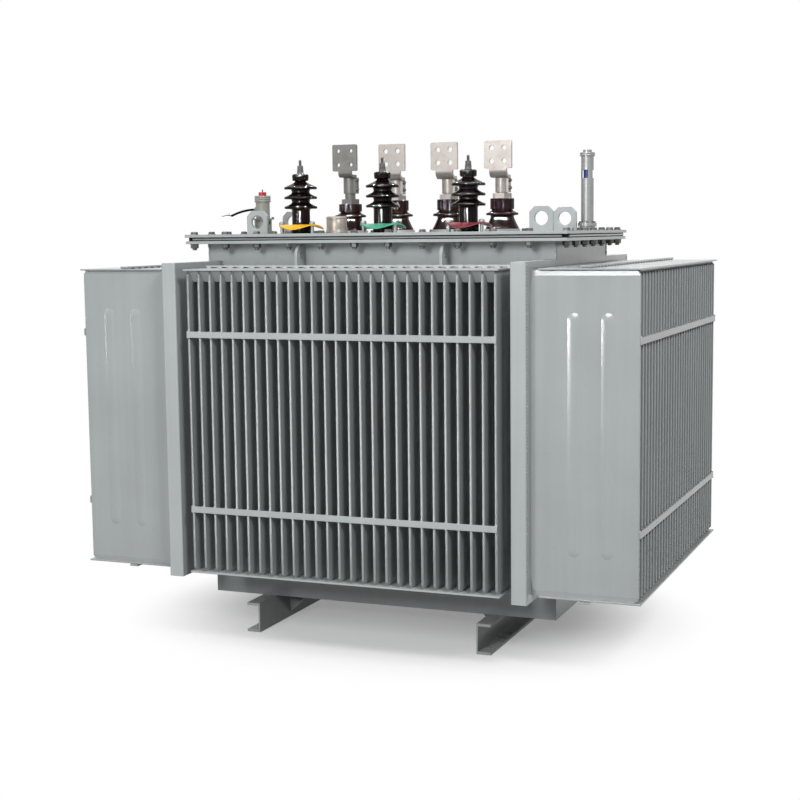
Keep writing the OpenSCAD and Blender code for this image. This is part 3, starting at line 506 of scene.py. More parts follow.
# %% Metals
finish_material(
    "zinc_steel", metal_group,
    {"Colour": (0.145, 0.145, 0.14, 1.0), "Stain Colour": (0.055, 0.052, 0.048, 1.0), "Stain": 0.6,
     "Base Roughness": 0.34},
    bump_depth=0.0004, bump=0.2, Metallic=0.8)
finish_material(
    "tinned_copper", metal_group,
    {"Colour": (0.335, 0.31, 0.292, 1.0), "Stain Colour": (0.24, 0.213, 0.19, 1.0), "Stain": 0.5,
     "Base Roughness": 0.32},
    bump_depth=0.0003, bump=0.2, edge=0.0012, Metallic=0.8)
finish_material(
    "dull_tin", metal_group,
    {"Colour": (0.165, 0.163, 0.154, 1.0), "Stain Colour": (0.11, 0.107, 0.10, 1.0), "Stain": 0.5,
     "Base Roughness": 0.4},
    bump_depth=0.0003, bump=0.2, edge=0.0012, Metallic=0.6)
finish_material(
    "satin_metal", metal_group,
    {"Colour": (0.31, 0.315, 0.316, 1.0), "Stain Colour": (0.21, 0.21, 0.206, 1.0), "Stain": 0.35,
     "Base Roughness": 0.34},
    bump_depth=0.0003, bump=0.2, edge=0.0012, Metallic=0.75)
for slot_name, material in materials.items():
    print(slot_name, len(material.node_tree.nodes), "nodes")

# %% [markdown]
# ## Painting the solid pieces
#
# The record says which finish each piece takes. Each solid's material slots are emptied and given that
# one. The clamp studs are listed with the other steel, but theirs is brighter, so they take the satin
# metal.

# %% Finish the solid pieces
for part in frame["record"]["subparts"]:
    solid = nodes[part["node"]]
    solid.data.materials.clear()
    solid.data.materials.append(materials[part["material_slot"]])
nodes["clamp_studs"].data.materials[0] = materials["satin_metal"]


def dress(piece, slot_name):
    """Gives a new piece its finish and fixes it to the tank."""
    piece.data.materials.clear()
    piece.data.materials.append(materials[slot_name])
    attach(piece, "root")
    return piece


# %% [markdown]
# ## Studio
#
# A pale floor and soft lamps show the form without colouring it. The floor is an ordinary matt surface
# near the object, so that it takes the shadow, and fades into plain white further out. Part of it glows
# white to the camera, which lightens the shadow as a bright hall would. The Light Path node tells rays
# that see from rays that carry light: the world and the floor are white to the first and much dimmer to
# the second.

# %% Rays that see
def seen_rays(tree, x, y):
    """One for rays from the camera, a mirror or a glass, and nought for rays that carry light."""
    path = node(tree, "ShaderNodeLightPath", x, y)
    direct = path.outputs["Is Camera Ray"]
    mirrored = sums(tree, "MAXIMUM", direct, path.outputs["Is Glossy Ray"], x + 200, y)
    return sums(tree, "MAXIMUM", mirrored, path.outputs["Is Transmission Ray"], x + 400, y)


# %% Floor
FLOOR_HALF = 40.0
FLOOR_SHADE = (0.95, 0.95, 0.95, 1.0)
FLOOR_BOUNCE = (0.2, 0.2, 0.2, 1.0)
SHADOW_LIFT = 0.28
SHADOW_SPAN = (0.86, 0.78, 1.0)
SHADOW_FROM = 0.57
SHADOW_TO = 1.25

floor_material = bpy.data.materials.new("studio_floor")
floor_material.use_nodes = True
tree = floor_material.node_tree
tree.nodes.clear()
place = node(tree, "ShaderNodeTexCoord", -1100, 0)
squeeze = node(tree, "ShaderNodeVectorMath", -900, 0, operation="DIVIDE")
squeeze.inputs[1].default_value = SHADOW_SPAN
length = node(tree, "ShaderNodeVectorMath", -700, 0, operation="LENGTH")
fade = node(tree, "ShaderNodeMapRange", -500, 0, interpolation_type="SMOOTHSTEP")
for socket, value in zip(("From Min", "From Max", "To Min"), (SHADOW_FROM, SHADOW_TO, SHADOW_LIFT)):
    fade.inputs[socket].default_value = value
seen = seen_rays(tree, -1100, -400)
shade = blend(tree, "MIX", seen, FLOOR_BOUNCE, FLOOR_SHADE, -500, 250)
lifted = sums(tree, "MULTIPLY", fade.outputs["Result"], seen, -300, -200)
matt = node(tree, "ShaderNodeBsdfDiffuse", -300, 150)
white = node(tree, "ShaderNodeEmission", -300, 0)
mix = node(tree, "ShaderNodeMixShader", 0, 0)
output = node(tree, "ShaderNodeOutputMaterial", 200, 0)
link(tree, place.outputs["Object"], squeeze.inputs[0])
link(tree, squeeze.outputs["Vector"], length.inputs[0])
link(tree, length.outputs["Value"], fade.inputs["Value"])
link(tree, shade, matt.inputs["Color"])
link(tree, lifted, mix.inputs["Fac"])
link(tree, matt.outputs["BSDF"], mix.inputs[1])
link(tree, white.outputs["Emission"], mix.inputs[2])
link(tree, mix.outputs["Shader"], output.inputs["Surface"])

floor = start(bpy.ops.mesh.primitive_plane_add, size=2*FLOOR_HALF, location=(0, 0, 0))
floor.name = "studio_floor"
floor.data.materials.append(floor_material)
print("floor", 2*FLOOR_HALF, "m across")

# %% World
WORLD_LIGHT = 0.105

world = bpy.data.worlds.new("studio_world")
bpy.context.scene.world = world
world.use_nodes = True
tree = world.node_tree
tree.nodes.clear()
strength = span(tree, seen_rays(tree, -700, 0), 0.0, 1.0, WORLD_LIGHT, 1.0, -100, 0)
sky = node(tree, "ShaderNodeBackground", 100, 0)
sky.inputs["Color"].default_value = (1.0, 1.0, 1.0, 1.0)
output = node(tree, "ShaderNodeOutputWorld", 300, 0)
link(tree, strength, sky.inputs["Strength"])
link(tree, sky.outputs["Background"], output.inputs["Surface"])
print("world light", WORLD_LIGHT)

# %% [markdown]
# ### Soft lamps
#
# A softbox is a large lamp behind cloth, which an area light stands for. The key is in front, the fill
# high on the right, and a wide one hangs overhead. A lamp can also be limited to a collection of pieces,
# by light linking, which the next steps use.

# %% Soft lamps
LAMP_AIM = Vector((0.0, 0.0, 0.8))


def softbox(name, place, width, height, watts, reaches=None):
    """A lamp aimed at the transformer; reaches is the collection that it lights, or all if there is none."""
    light = bpy.data.lights.new(name, "AREA")
    light.shape = "RECTANGLE"
    light.size = width
    light.size_y = height
    light.energy = watts
    lamp = bpy.data.objects.new(name, light)
    bpy.context.scene.collection.objects.link(lamp)
    lamp.location = place
    lamp.rotation_euler = (LAMP_AIM - Vector(place)).to_track_quat("-Z", "Y").to_euler()
    if reaches is not None:
        lamp.light_linking.receiver_collection = reaches
    return lamp


key = softbox("key_softbox", (-0.5, -6.8, 3.4), 2.2, 2.2, 280.0)
fill = softbox("fill_softbox", (4.5, -3.8, 6.0), 1.8, 1.8, 290.0)
softbox("top_softbox", (-0.6, -0.4, 5.6), 4.0, 4.0, 130.0)
softbox("left_strip", (-4.6, -4.4, 2.6), 0.25, 2.4, 16.0)
print("soft lamps:", len(bpy.data.lights))

# %% [markdown]
# ### Glints
#
# Glaze and gloss mirror whatever lamp stands in the right place, and a photographer moves lamps about
# until each shed and each pressed bead has its bright line. A glint is such a lamp. Diffuse rays can't
# see it, so it lights nothing, and only its own collection mirrors it. Lamps in a hall's roof put the
# dots on the sheds, and windows the upright lines. The bushings join the glazed collection when they are
# made.

# %% Glints
FRONT_HALL_LAMPS = ((-4.1, -3.5), (-0.5, -5.2), (2.1, -4.6), (4.1, -2.7))


def collection_of(name, pieces):
    made = bpy.data.collections.new(name)
    for piece in pieces:
        made.objects.link(piece)
    return made


def glint(name, reaches, place, width, height, watts):
    """A lamp that is only mirrored, and only by what it reaches."""
    softbox(name, place, width, height, watts, reaches).visible_diffuse = False


glazed = collection_of("glazed", [])
right_pack = collection_of("right_pack", [nodes["right_fins"]])
left_pack = collection_of("left_pack", [nodes["left_fins"]])
for i, (x, y) in enumerate(FRONT_HALL_LAMPS):
    glint(f"front_hall_lamp_{i}", glazed, (x, y, 5.6), 0.25, 0.25, 11000.0)
    glint(f"back_hall_lamp_{i}", glazed, (-3.0 + 2.0*i, 3.4, 6.2), 0.3, 0.3, 400.0)
glint("near_window", glazed, (0.6, -5.4, 1.75), 0.06, 0.7, 700.0)
glint("left_window", glazed, (-2.6, -5.2, 1.75), 0.03, 0.7, 90.0)
glint("right_bead_lamp", right_pack, (-2.37, -4.47, 0.80), 1.3, 0.24, 62.0)
glint("right_bead_tail", right_pack, (-2.37, -4.47, 0.45), 0.35, 0.4, 7.0)
glint("left_bead_lamp", left_pack, (-4.7, -3.6, 0.74), 0.2, 0.22, 4.0)
print("lamps with the glints:", len(bpy.data.lights))

# %% [markdown]
# ### Lamps for the front fins
#
# The gaps between the fins are narrow and deep. A strong lamp in front shines right into them and makes
# the row look flat, so the key and the fill leave the front fins out. Instead, a lamp on the right grazes
# the outer part of each fin's side, a weak one in front and a wide glint draw the tips, and the depths
# stay dark.

# %% Lamps for the front fins
FRONT_FACES = ("front_fins", "front_fin_braces", "front_left_corner_box", "front_right_corner_box")


def all_but(left_out):
    """A collection for light linking that stands for every object but one."""
    rest = collection_of("all_but_" + left_out.name, [left_out])
    rest.collection_objects[0].light_linking.link_state = "EXCLUDE"
    return rest


front_faces = collection_of("front_faces", [nodes[name] for name in FRONT_FACES])
front_fins = collection_of("front_fins", [nodes["front_fins"]])
softbox("tip_softbox", (0.4, -7.0, 2.4), 2.0, 2.0, 75.0, front_faces)
softbox("gap_softbox", (4.6, -4.5, 4.8), 1.8, 1.8, 190.0, front_fins)
glint("tip_glint", front_fins, (-0.5, -1.85, 0.64), 1.2, 1.1, 40.0)
off_fins = all_but(nodes["front_fins"])
for lamp in (key, fill):
    lamp.light_linking.receiver_collection = off_fins

# %% [markdown]
# ### Lamps for the back and the left
#
# Those sides would be nearly black without lamps of their own. They leave the floor out, so that its
# shadow stays as it is, and they aren't mirrored, so that the top plates get no glare. The Standard view
# shows colours as they were chosen.

# %% Lamps for the back and the left
SIDE_LAMPS = {
    "back_softbox": ((-2.0, 6.8, 3.6), 2.4, 190.0),
    "left_softbox": ((-6.5, 1.5, 3.2), 2.0, 80.0)}

off_floor = all_but(floor)
for name, (place, size, watts) in SIDE_LAMPS.items():
    softbox(name, place, size, size, watts, off_floor).visible_glossy = False
bpy.context.scene.view_settings.view_transform = "Standard"
print("lamps in all:", len(bpy.data.lights))

# %% [markdown]
# ## Signal lead
#
# A short lead leaves the relief valve's gland and ends stripped, ready for a terminal box on site. A lead
# is a curve with a round bevel, because a curve keeps one thickness along any route. Its points repeat
# the route of the solid lead.

# %% Signal lead
LEAD_START = Vector((-566.0, -62.0, 1428.0))
LEAD_DROPS = (0, 0.1, 0.3, 0.7, 1.3, 2.1, 3, 4.1, 5.3, 6.7, 8.3, 10, 11.9, 14, 16.2, 18.6, 21.1)
LEAD_STEP = 6.0
LEAD_ACROSS = 8.0

lead_points = [
    (LEAD_START + Vector((-LEAD_STEP*i, 0.0, -drop)))*MM for i, drop in enumerate(LEAD_DROPS)]
lead_curve = bpy.data.curves.new("signal_lead_sheath", "CURVE")
lead_curve.dimensions = "3D"
lead_curve.bevel_depth = LEAD_ACROSS/2*MM
lead_curve.bevel_resolution = 4
lead_curve.use_fill_caps = True
route = lead_curve.splines.new("POLY")
route.points.add(len(lead_points) - 1)
for point, place in zip(route.points, lead_points):
    point.co = (*place, 1.0)
lead = bpy.data.objects.new("signal_lead_sheath", lead_curve)
bpy.context.scene.collection.objects.link(lead)
dress(lead, "cable_sheath")
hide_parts("signal_lead")

# %% [markdown]
# ### Stripped wire ends
#
# Three wires come out of the sheath. Each is pulled from a small disc that starts inside the sheath's
# end, by extruding it along a few short steps. The earth wire is bent up, out of the way. It is listed
# with the yellow finish and takes its own sheath's green and yellow.

# %% Stripped wire ends
WIRE_ACROSS = 2.2
WIRE_INSIDE = 3.0
EARTH_STEPS = [(-4, -1, 1), (-3, -1, 3), (-2.5, -1, 3.5), (-2.5, 0, 3)]
FIRST_STEPS = [(-9, 1, 1.5), (-8, 1, 2), (-7, 1, 0.5), (-7, 0, -2.5), (-7, 0, -2), (-8, 0, 0.5)]
SECOND_STEPS = [(-9, 0, 0.5), (-8, 1, 1.5), (-8, 1, 1), (-7, 1, -1.5), (-7, 1, -2)]


def wire(name, sideways, steps, slot_name):
    """A thin insulated wire that starts inside the end of the sheath."""
    place = lead_points[-1] + Vector((WIRE_INSIDE, sideways, 0.0))*MM
    piece = start(
        bpy.ops.mesh.primitive_circle_add, vertices=8, radius=WIRE_ACROSS/2*MM, fill_type="NGON",
        location=place, rotation=(0.0, math.radians(90), 0.0))
    bpy.ops.object.mode_set(mode="EDIT")
    for step in steps:
        bpy.ops.mesh.extrude_region_move(TRANSFORM_OT_translate={"value": tuple(MM*v for v in step)})
    bpy.ops.mesh.select_all(action="SELECT")
    bpy.ops.mesh.normals_make_consistent(inside=False)
    return dress(settle(piece, name), slot_name)


earth_wire = wire("earth_wire", -1.6, EARTH_STEPS, "yellow_paint")
earth_wire.data.materials[0] = materials["earth_sheath"]
first_wire = wire("first_signal_wire", 1.2, FIRST_STEPS, "zinc_steel")
second_wire = wire("second_signal_wire", 0.2, SECOND_STEPS, "cable_sheath")
print("wire ends:", earth_wire.name, first_wire.name, second_wire.name)

# %% [markdown]
# ## Cover bolts
#
# The cover is pulled down on its gasket by a ring of bolts: a hexagon head on a washer above, and a
# washer, a nut and the bolt's end below the flange. A hexagon is a cylinder with six sides, and its
# chamfer is an inset of the end face that is then pushed out. A fastener is a stack of such layers. One
# bolt is modelled and copied to every place, each copy turned a little, because nobody lines up hexagons.

# %% Fasteners
DISC_SIDES = 20
HEX_CUT = 0.1
WASHER_CUT = 0.25
WASHER_SLENDER = 0.3
ROD_CUT = 0.08


def blank(sides, radius, height, cut, name):
    """A prism that stands on the origin with a chamfer round its top; sizes in millimetres."""
    body = start(
        bpy.ops.mesh.primitive_cylinder_add, vertices=sides, radius=radius*MM, depth=(height - cut)*MM,
        location=(0.0, 0.0, (height - cut)/2*MM))
    pick(body, "FACE", lambda face: face.normal.z > 0.9)
    bpy.ops.mesh.inset(thickness=cut*MM)
    bpy.ops.transform.translate(value=(0.0, 0.0, cut*MM))
    return settle(body, name)


def hexagon(flats, height):
    """A nut or a bolt's head."""
    return blank(6, flats/math.sqrt(3), height, HEX_CUT*flats, "hexagon")


def disc(across, height):
    """A flat washer, or a bolt's end, which is taller and cut by its width."""
    slender = height < WASHER_SLENDER*across
    return blank(DISC_SIDES, across/2, height, WASHER_CUT*height if slender else ROD_CUT*across, "disc")


def stack(name, *layers):
    """Layers of (maker, width, height), each on top of the one before."""
    pieces = []
    rise = 0.0
    for maker, width, height in layers:
        piece = maker(width, height)
        piece.location.z = rise*MM
        pieces.append(piece)
        rise += height
    return join(pieces, name)


# %% Cover bolts
FLANGE_UNDER = side_of("rim_flange", 0, "z")
BOLT_ROW_X = 646.0
BOLT_ROW_Y = 359.0
LONG_ROW = [-BOLT_ROW_X + 118.8*i for i in range(11)]
LEFT_ROW = [-239.0 + 119.5*i for i in range(5)]
RIGHT_ROW = [-305.0 + 109.0*i for i in range(7)]

bolt_places = [(x, side*BOLT_ROW_Y) for x in LONG_ROW for side in (-1, 1)]
bolt_places += [(-BOLT_ROW_X, y) for y in LEFT_ROW] + [(BOLT_ROW_X, y) for y in RIGHT_ROW]

chance = random.Random(7)
head = stack("bolt_head", (disc, 27, 2), (hexagon, 21, 7.5))
head_places = [at(x, y, DECK, chance.uniform(0, math.pi)) for x, y in bolt_places]
bolt_heads = dress(repeat(head, head_places, "cover_bolt_heads"), "zinc_steel")
nut = stack("bolt_nut", (disc, 30, 2), (hexagon, 24, 13), (disc, 15, 6))
flip = Matrix.Rotation(math.pi, 4, "X")
nut_places = [at(x, y, FLANGE_UNDER, chance.uniform(0, math.pi)) @ flip for x, y in bolt_places]
bolt_nuts = dress(repeat(nut, nut_places, "cover_bolt_nuts"), "zinc_steel")
print(len(bolt_places), "cover bolts,", len(bolt_heads.data.polygons) + len(bolt_nuts.data.polygons), "faces")

# %% [markdown]
# ## Weld seams
#
# The tank is sheet and plate welded along its joints. A weld bead is a row of small overlapping scales,
# the ripples that the pool of metal leaves. One flattened ball is the scale, and a row of copies, each a
# little different, is the bead. The balls sink half into the plates, so only their backs show.

# %% Weld scales
WELD_WANDER = 0.5


def weld_scale(length, width, height):
    scale = start(bpy.ops.mesh.primitive_uv_sphere_add, segments=8, ring_count=5, radius=1.0)
    bpy.ops.object.mode_set(mode="EDIT")
    bpy.ops.mesh.select_all(action="SELECT")
    bpy.ops.transform.resize(value=(length/2*MM, width/2*MM, height/2*MM), center_override=(0.0, 0.0, 0.0))
    return settle(scale, "weld_scale", smooth_angle=80)


def uneven(low, high):
    """A random stretch along each axis."""
    return Matrix.Diagonal([chance.uniform(low, high) for _ in range(3)]).to_4x4()


def seam_places(first, last, pitch):
    """Places along a straight seam; the scale's length lies along it."""
    first, last = Vector(first), Vector(last)
    run = last - first
    count = max(2, round(run.length/pitch))
    turn = run.to_track_quat("X", "Z").to_matrix().to_4x4()
    made = []
    for i in range(count):
        wander = Vector([chance.uniform(-WELD_WANDER, WELD_WANDER) for _ in range(3)])
        place = first + run*((i + 0.5)/count) + wander
        made.append(Matrix.Translation(place*MM) @ turn @ uneven(0.85, 1.2))
    return made


def seams(name, lines, scale_sizes, pitch):
    places = [place for first, last in lines for place in seam_places(first, last, pitch)]
    dress(repeat(weld_scale(*scale_sizes), places, name), "grey_paint")
    print(name, len(places), "scales")


# %% Neck and post seams
POST_IN_X = side_of("front_right_corner_box", 0, "x")
POST_OUT_X = side_of("front_right_corner_box", 1, "x")
POST_FRONT_Y = -side_of("front_right_corner_box", 0, "y")
POST_FOOT = side_of("front_right_corner_box", 0, "z")
POST_HEAD = side_of("front_right_corner_box", 1, "z")
WALL_Y = -side_of("tank_front_wall", 0, "y")
CORNERS = [(sx, sy) for sx in (-1, 1) for sy in (-1, 1)]

neck_x, neck_y = POST_OUT_X - 1, WALL_Y - 1
neck_lines = [
    ((sx*neck_x, sy*neck_y, POST_HEAD + 1), (sx*neck_x, sy*neck_y, FLANGE_UNDER - 1)) for sx, sy in CORNERS]
seams("neck_corner_welds", neck_lines, (9, 8, 8), pitch=7.0)

post_y, shoulder_y = POST_FRONT_Y - 12, WALL_Y + 2
post_lines = [
    ((sx*POST_OUT_X, sy*post_y, POST_FOOT + 13), (sx*POST_OUT_X, sy*post_y, POST_HEAD - 6))
    for sx, sy in CORNERS]
shoulder_lines = [
    ((sx*POST_IN_X, sy*shoulder_y, POST_HEAD), (sx*POST_OUT_X, sy*shoulder_y, POST_HEAD))
    for sx, sy in CORNERS]
seams("corner_box_welds", post_lines + shoulder_lines, (9, 6, 4), pitch=11.0)

# %% [markdown]
# ### Weld spots on the bands
#
# Each band is held to each fin by a short weld above it and one below it. A spot is one scale.

# %% Weld spots on the bands
BAND_HEIGHTS = (451.0, 1022.0)
BAND_WIDTH = 20.0
FIN_PITCH = 40.0
FRONT_FIN_X = [i*FIN_PITCH for i in range(-13, 14)]
END_FIN_Y = [(i + 0.5)*FIN_PITCH for i in range(-15, 15)]
FIN_TIP_Y = -side_of("front_fins", 0, "y")
FIN_TIP_X = side_of("right_fins", 1, "x")
SPOT_PROUD = 1.0

spot_places = []
for height in BAND_HEIGHTS:
    for edge in (-1, 1):
        z = height + edge*(BAND_WIDTH/2 + 0.5)
        for side in (-1, 1):
            spot_places += [(x, side*(FIN_TIP_Y + SPOT_PROUD), z) for x in FRONT_FIN_X]
            spot_places += [(side*(FIN_TIP_X + SPOT_PROUD), y, z) for y in END_FIN_Y]
spots = [at(*place) @ uneven(0.8, 1.2) for place in spot_places]
dress(repeat(weld_scale(11, 9, 5), spots, "band_weld_spots"), "grey_paint")
print(len(spots), "weld spots")

# %% [markdown]
# ## Closing folds
#
# At the top, each air gap between two fins is closed by a small folded piece of sheet behind the fin
# tips, creased from corner to corner where it is pressed into place. One is made from a plane: its top is
# drawn forward, then every corner but the lower left one a little more. A crease joins the two corners
# beside that one, and an extrusion gives the sheet its thickness.

# %% One closing fold
FOLD_HEIGHT = 36.0
FOLD_WIDTH = 36.0
FOLD_LEAN = 25.0
FOLD_CREASE = 3.0
FOLD_SHEET = 1.5


def closing_fold():
    """A creased sheet about the origin that faces -Y, with its top leaning forward."""
    fold = start(
        bpy.ops.mesh.primitive_plane_add, size=1.0, location=(0.0, 0.0, 0.0),
        rotation=(math.radians(90), 0.0, 0.0))
    fold.scale = (FOLD_WIDTH*MM, FOLD_HEIGHT*MM, 1.0)
    settle(fold, "closing_fold")
    pick(fold, "VERT", lambda point: point.co.z > 0)
    bpy.ops.transform.translate(value=(0.0, -FOLD_LEAN*MM, 0.0))
    pick(fold, "VERT", lambda point: point.co.x > 0 or point.co.z > 0)
    bpy.ops.transform.translate(value=(0.0, -FOLD_CREASE*MM, 0.0))
    bpy.ops.mesh.vert_connect()
    bpy.ops.mesh.select_all(action="SELECT")
    bpy.ops.mesh.extrude_region_move(TRANSFORM_OT_translate={"value": (0.0, FOLD_SHEET*MM, 0.0)})
    bpy.ops.mesh.select_all(action="SELECT")
    bpy.ops.mesh.normals_make_consistent(inside=False)
    return settle(fold, "closing_fold", smooth_angle=5)


# %% Closing folds
FOLD_BACK = 30.0
QUARTER = math.radians(90)

fold_z = side_of("front_fins", 1, "z") - FOLD_HEIGHT/2
fold_y = FIN_TIP_Y - FOLD_BACK
fold_x = FIN_TIP_X - FOLD_BACK
fold_places = []
for x in FRONT_FIN_X[:-1]:
    middle = x + FIN_PITCH/2
    fold_places += [at(middle, -fold_y, fold_z), at(middle, fold_y, fold_z, 2*QUARTER)]
for y in END_FIN_Y[:-1]:
    middle = y + FIN_PITCH/2
    fold_places += [at(fold_x, middle, fold_z, QUARTER), at(-fold_x, middle, fold_z, -QUARTER)]
folds = dress(repeat(closing_fold(), fold_places, "fin_closing_folds"), "grey_paint")
print(len(fold_places), "folds,", len(folds.data.polygons), "faces")

# %% [markdown]
# ## Channel gussets
#
# Triangular plates stiffen the corner between each base channel and the floor of the tank. A block is cut
# from corner to corner with bisect, which drops one half and fills the cut. The plates lie over the solid
# model's, which are a little smaller.

# %% Channel gussets
GUSSET_SIDE = 86.0
GUSSET_THICK = 9.0
GUSSET_EDGE = 0.8
GUSSET_Y = 201.0
WEB_X = 387.0
FLOOR_UNDER = side_of("tank_floor", 0, "z")


def gusset():
    """A right-angled plate with its corner at the origin, one edge down -Z and one along +X."""
    side, half = GUSSET_SIDE*MM, GUSSET_SIDE/2*MM
    plate = start(bpy.ops.mesh.primitive_cube_add, size=1.0, location=(half, 0.0, -half))
    plate.scale = (side, GUSSET_THICK*MM, side)
    settle(plate, "gusset")
    bpy.ops.object.mode_set(mode="EDIT")
    bpy.ops.mesh.select_all(action="SELECT")
    bpy.ops.mesh.bisect(
        plane_co=(half, 0.0, -half), plane_no=(1.0, 0.0, -1.0), use_fill=True, clear_outer=True)
    bpy.ops.mesh.select_all(action="SELECT")
    bpy.ops.mesh.bevel(offset=GUSSET_EDGE*MM, segments=1, affect="EDGES")
    return settle(plate, "gusset")


gusset_places = [
    at(side*WEB_X, y, FLOOR_UNDER, turn)
    for side, turn in ((-1, 0.0), (1, math.pi)) for y in (-GUSSET_Y, GUSSET_Y)]
gussets = dress(repeat(gusset(), gusset_places, "channel_gussets"), "grey_paint")
print(len(gusset_places), "gussets,", len(gussets.data.polygons), "faces")

# %% [markdown]
# ## Turned porcelain
#
# A bushing is thrown and turned like a pot, so it is made the same way: half its outline is drawn as a
# chain of edges, by extruding one point from place to place, and spun about its axis. The sheds, the wide
# skirts that keep rain off the body, get thick round rims with a drip edge beneath. Spinning leaves
# doubled points on the axis and at the seam, which are merged before the faces are turned outwards.

# %% Turning
DOUBLED = 0.01


def turned(name, outline, place, steps=56, smooth_angle=50):
    """Spins an outline of (radius, height) points in millimetres about the upright axis at a place."""
    piece = start(bpy.ops.mesh.primitive_plane_add, size=MM, location=(0.0, 0.0, 0.0))
    bpy.ops.object.mode_set(mode="EDIT")
    bpy.ops.mesh.select_all(action="SELECT")
    bpy.ops.mesh.merge(type="CENTER")
    bpy.ops.mesh.select_mode(type="VERT")
    bpy.ops.mesh.select_all(action="SELECT")
    bpy.ops.transform.translate(value=(outline[0][0]*MM, 0.0, outline[0][1]*MM))
    for (r0, z0), (r1, z1) in zip(outline, outline[1:]):
        bpy.ops.mesh.extrude_region_move(
            TRANSFORM_OT_translate={"value": ((r1 - r0)*MM, 0.0, (z1 - z0)*MM)})
    bpy.ops.mesh.select_all(action="SELECT")
    bpy.ops.mesh.spin(steps=steps, angle=2*math.pi, center=(0.0, 0.0, 0.0), axis=(0.0, 0.0, 1.0))
    bpy.ops.mesh.select_all(action="SELECT")
    bpy.ops.mesh.remove_doubles(threshold=DOUBLED*MM)
    bpy.ops.mesh.normals_make_consistent(inside=False)
    bpy.ops.object.mode_set(mode="OBJECT")
    piece.location = Vector(place)*MM
    return settle(piece, name, smooth_angle)


def arc(centre, radius, first, last, count):
    """Points of an arc in the outline's plane; angles in degrees."""
    angles = [math.radians(first + (last - first)*i/(count - 1)) for i in range(count)]
    return [(centre[0] + radius*math.cos(a), centre[1] + radius*math.sin(a)) for a in angles]


# %% High-voltage porcelain
HV_Y = -240.0
HV_PITCH = 300.0
HV_BODY = 30.5
HV_SHED = 56.0
HV_RIM = 4.9
HV_NECK = 19.5
HV_HEIGHT = 199.0
HV_SHED_HEIGHTS = (87.0, 119.5, 152.0)


def high_voltage_outline():
    points = [(0.0, 0.0), (33.0, 0.0), (33.5, 1.0), (33.5, 24.5), (32.5, 26.0)]
    points += [(HV_BODY, 27.0), (HV_BODY, 28.5)]
    for i, z in enumerate(HV_SHED_HEIGHTS):
        last = i == len(HV_SHED_HEIGHTS) - 1
        points += [(HV_BODY, z - 14.0)] + arc((HV_BODY + 6.0, z - 11.0), 6.0, 180, 110, 5)
        points += [(44.0, z - 4.6), (49.0, z - 4.8)]
        points += arc((HV_SHED - HV_RIM, z), HV_RIM, -80, 72, 8)
        points += [(48.0, z + 6.2), (43.5, z + 8.6), (39.0, z + 10.6), (35.0, z + 12.4)]
        points += [(29.0, z + 15.4), (22.5, z + 18.6), (HV_NECK, z + 21.0)] if last else [
            (32.2, z + 14.6), (HV_BODY, z + 17.0)]
    points += [(HV_NECK - 0.8, 174.5)]
    points += arc((22.0, 181.0), 5.5, 235, 350, 6)
    points += arc((21.5, 192.2), 6.8, 5, 90, 7)
    return points + [(0.0, HV_HEIGHT)]


for i, side in enumerate(("left", "middle", "right")):
    bushing = turned(side + "_hv_porcelain", high_voltage_outline(), ((i - 1)*HV_PITCH, HV_Y, DECK))
    dress(bushing, "dark_porcelain")
    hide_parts(side + "_hv_bushing")
    glazed.objects.link(bushing)
    print(bushing.name, len(bushing.data.polygons), "faces")

# %% [markdown]
# ### Low-voltage porcelain
#
# The low-voltage bushings carry more current at a lower voltage, so they are short and thick. Their
# collars are moulded with upright flutes. A collar is turned with several steps to each flute, and the
# points in the flute's middle are then drawn in, with those beside it drawn in less.

# %% Low-voltage porcelain
LV_Y = 147.0
LV_SEAT = side_of("cover_plate", 1, "z")
LV_COLLAR = 41.5
LV_COLLAR_BOTTOM = 68.0
LV_COLLAR_INSIDE = 37.0
LV_RIM = 4.6
LV_FLUTES = 10
FLUTE_STEPS = 8
LV_STEPS = FLUTE_STEPS*LV_FLUTES
LV_PIECES = {
    "neutral": (-288.0, 95.0), "left": (-106.0, 105.0), "middle": (91.0, 105.0), "right": (288.0, 105.0)}


def low_voltage_outline(collar_top):
    points = [(0.0, 0.0), (57.0, 0.0), (58.0, 1.0), (58.0, 4.5), (56.6, 6.6), (52.5, 14.0), (48.4, 22.5)]
    points += [(44.6, 31.0), (42.0, 37.0), (41.0, 40.5)]
    points += arc((46.0, 41.5), 5.2, 175, 110, 4)
    points += [(49.0, 46.6)] + arc((57.0 - LV_RIM, 51.5), LV_RIM, -85, 70, 8)
    points += [(49.0, 57.6), (45.0, 59.8), (41.0, 61.9), (38.2, 63.6), (36.8, 65.4), (36.5, 66.6)]
    points += [(37.5, LV_COLLAR_BOTTOM - 0.4), (40.5, LV_COLLAR_BOTTOM)]
    points += [(LV_COLLAR, LV_COLLAR_BOTTOM + 1.2), (LV_COLLAR, LV_COLLAR_BOTTOM + 2.4)]
    points += [(LV_COLLAR, collar_top - 2.6), (LV_COLLAR, collar_top - 1.4)]
    return points + [(40.4, collar_top), (0.0, collar_top)]


def flute(piece, steps, depth):
    """Draws in the collar's wall along the lines that lie the given steps from each flute's middle."""
    def on_flute(point):
        x, y, z = point.co/MM
        turn = round(math.atan2(y, x)/(2*math.pi)*LV_STEPS) % FLUTE_STEPS
        return turn in steps and math.hypot(x, y) > LV_COLLAR_INSIDE and z > LV_COLLAR_BOTTOM - 0.5

    pick(piece, "VERT", on_flute)
    shrink = 1.0 - depth/LV_COLLAR
    bpy.ops.transform.resize(value=(shrink, shrink, 1.0), center_override=(0.0, 0.0, 0.0))
    bpy.ops.object.mode_set(mode="OBJECT")


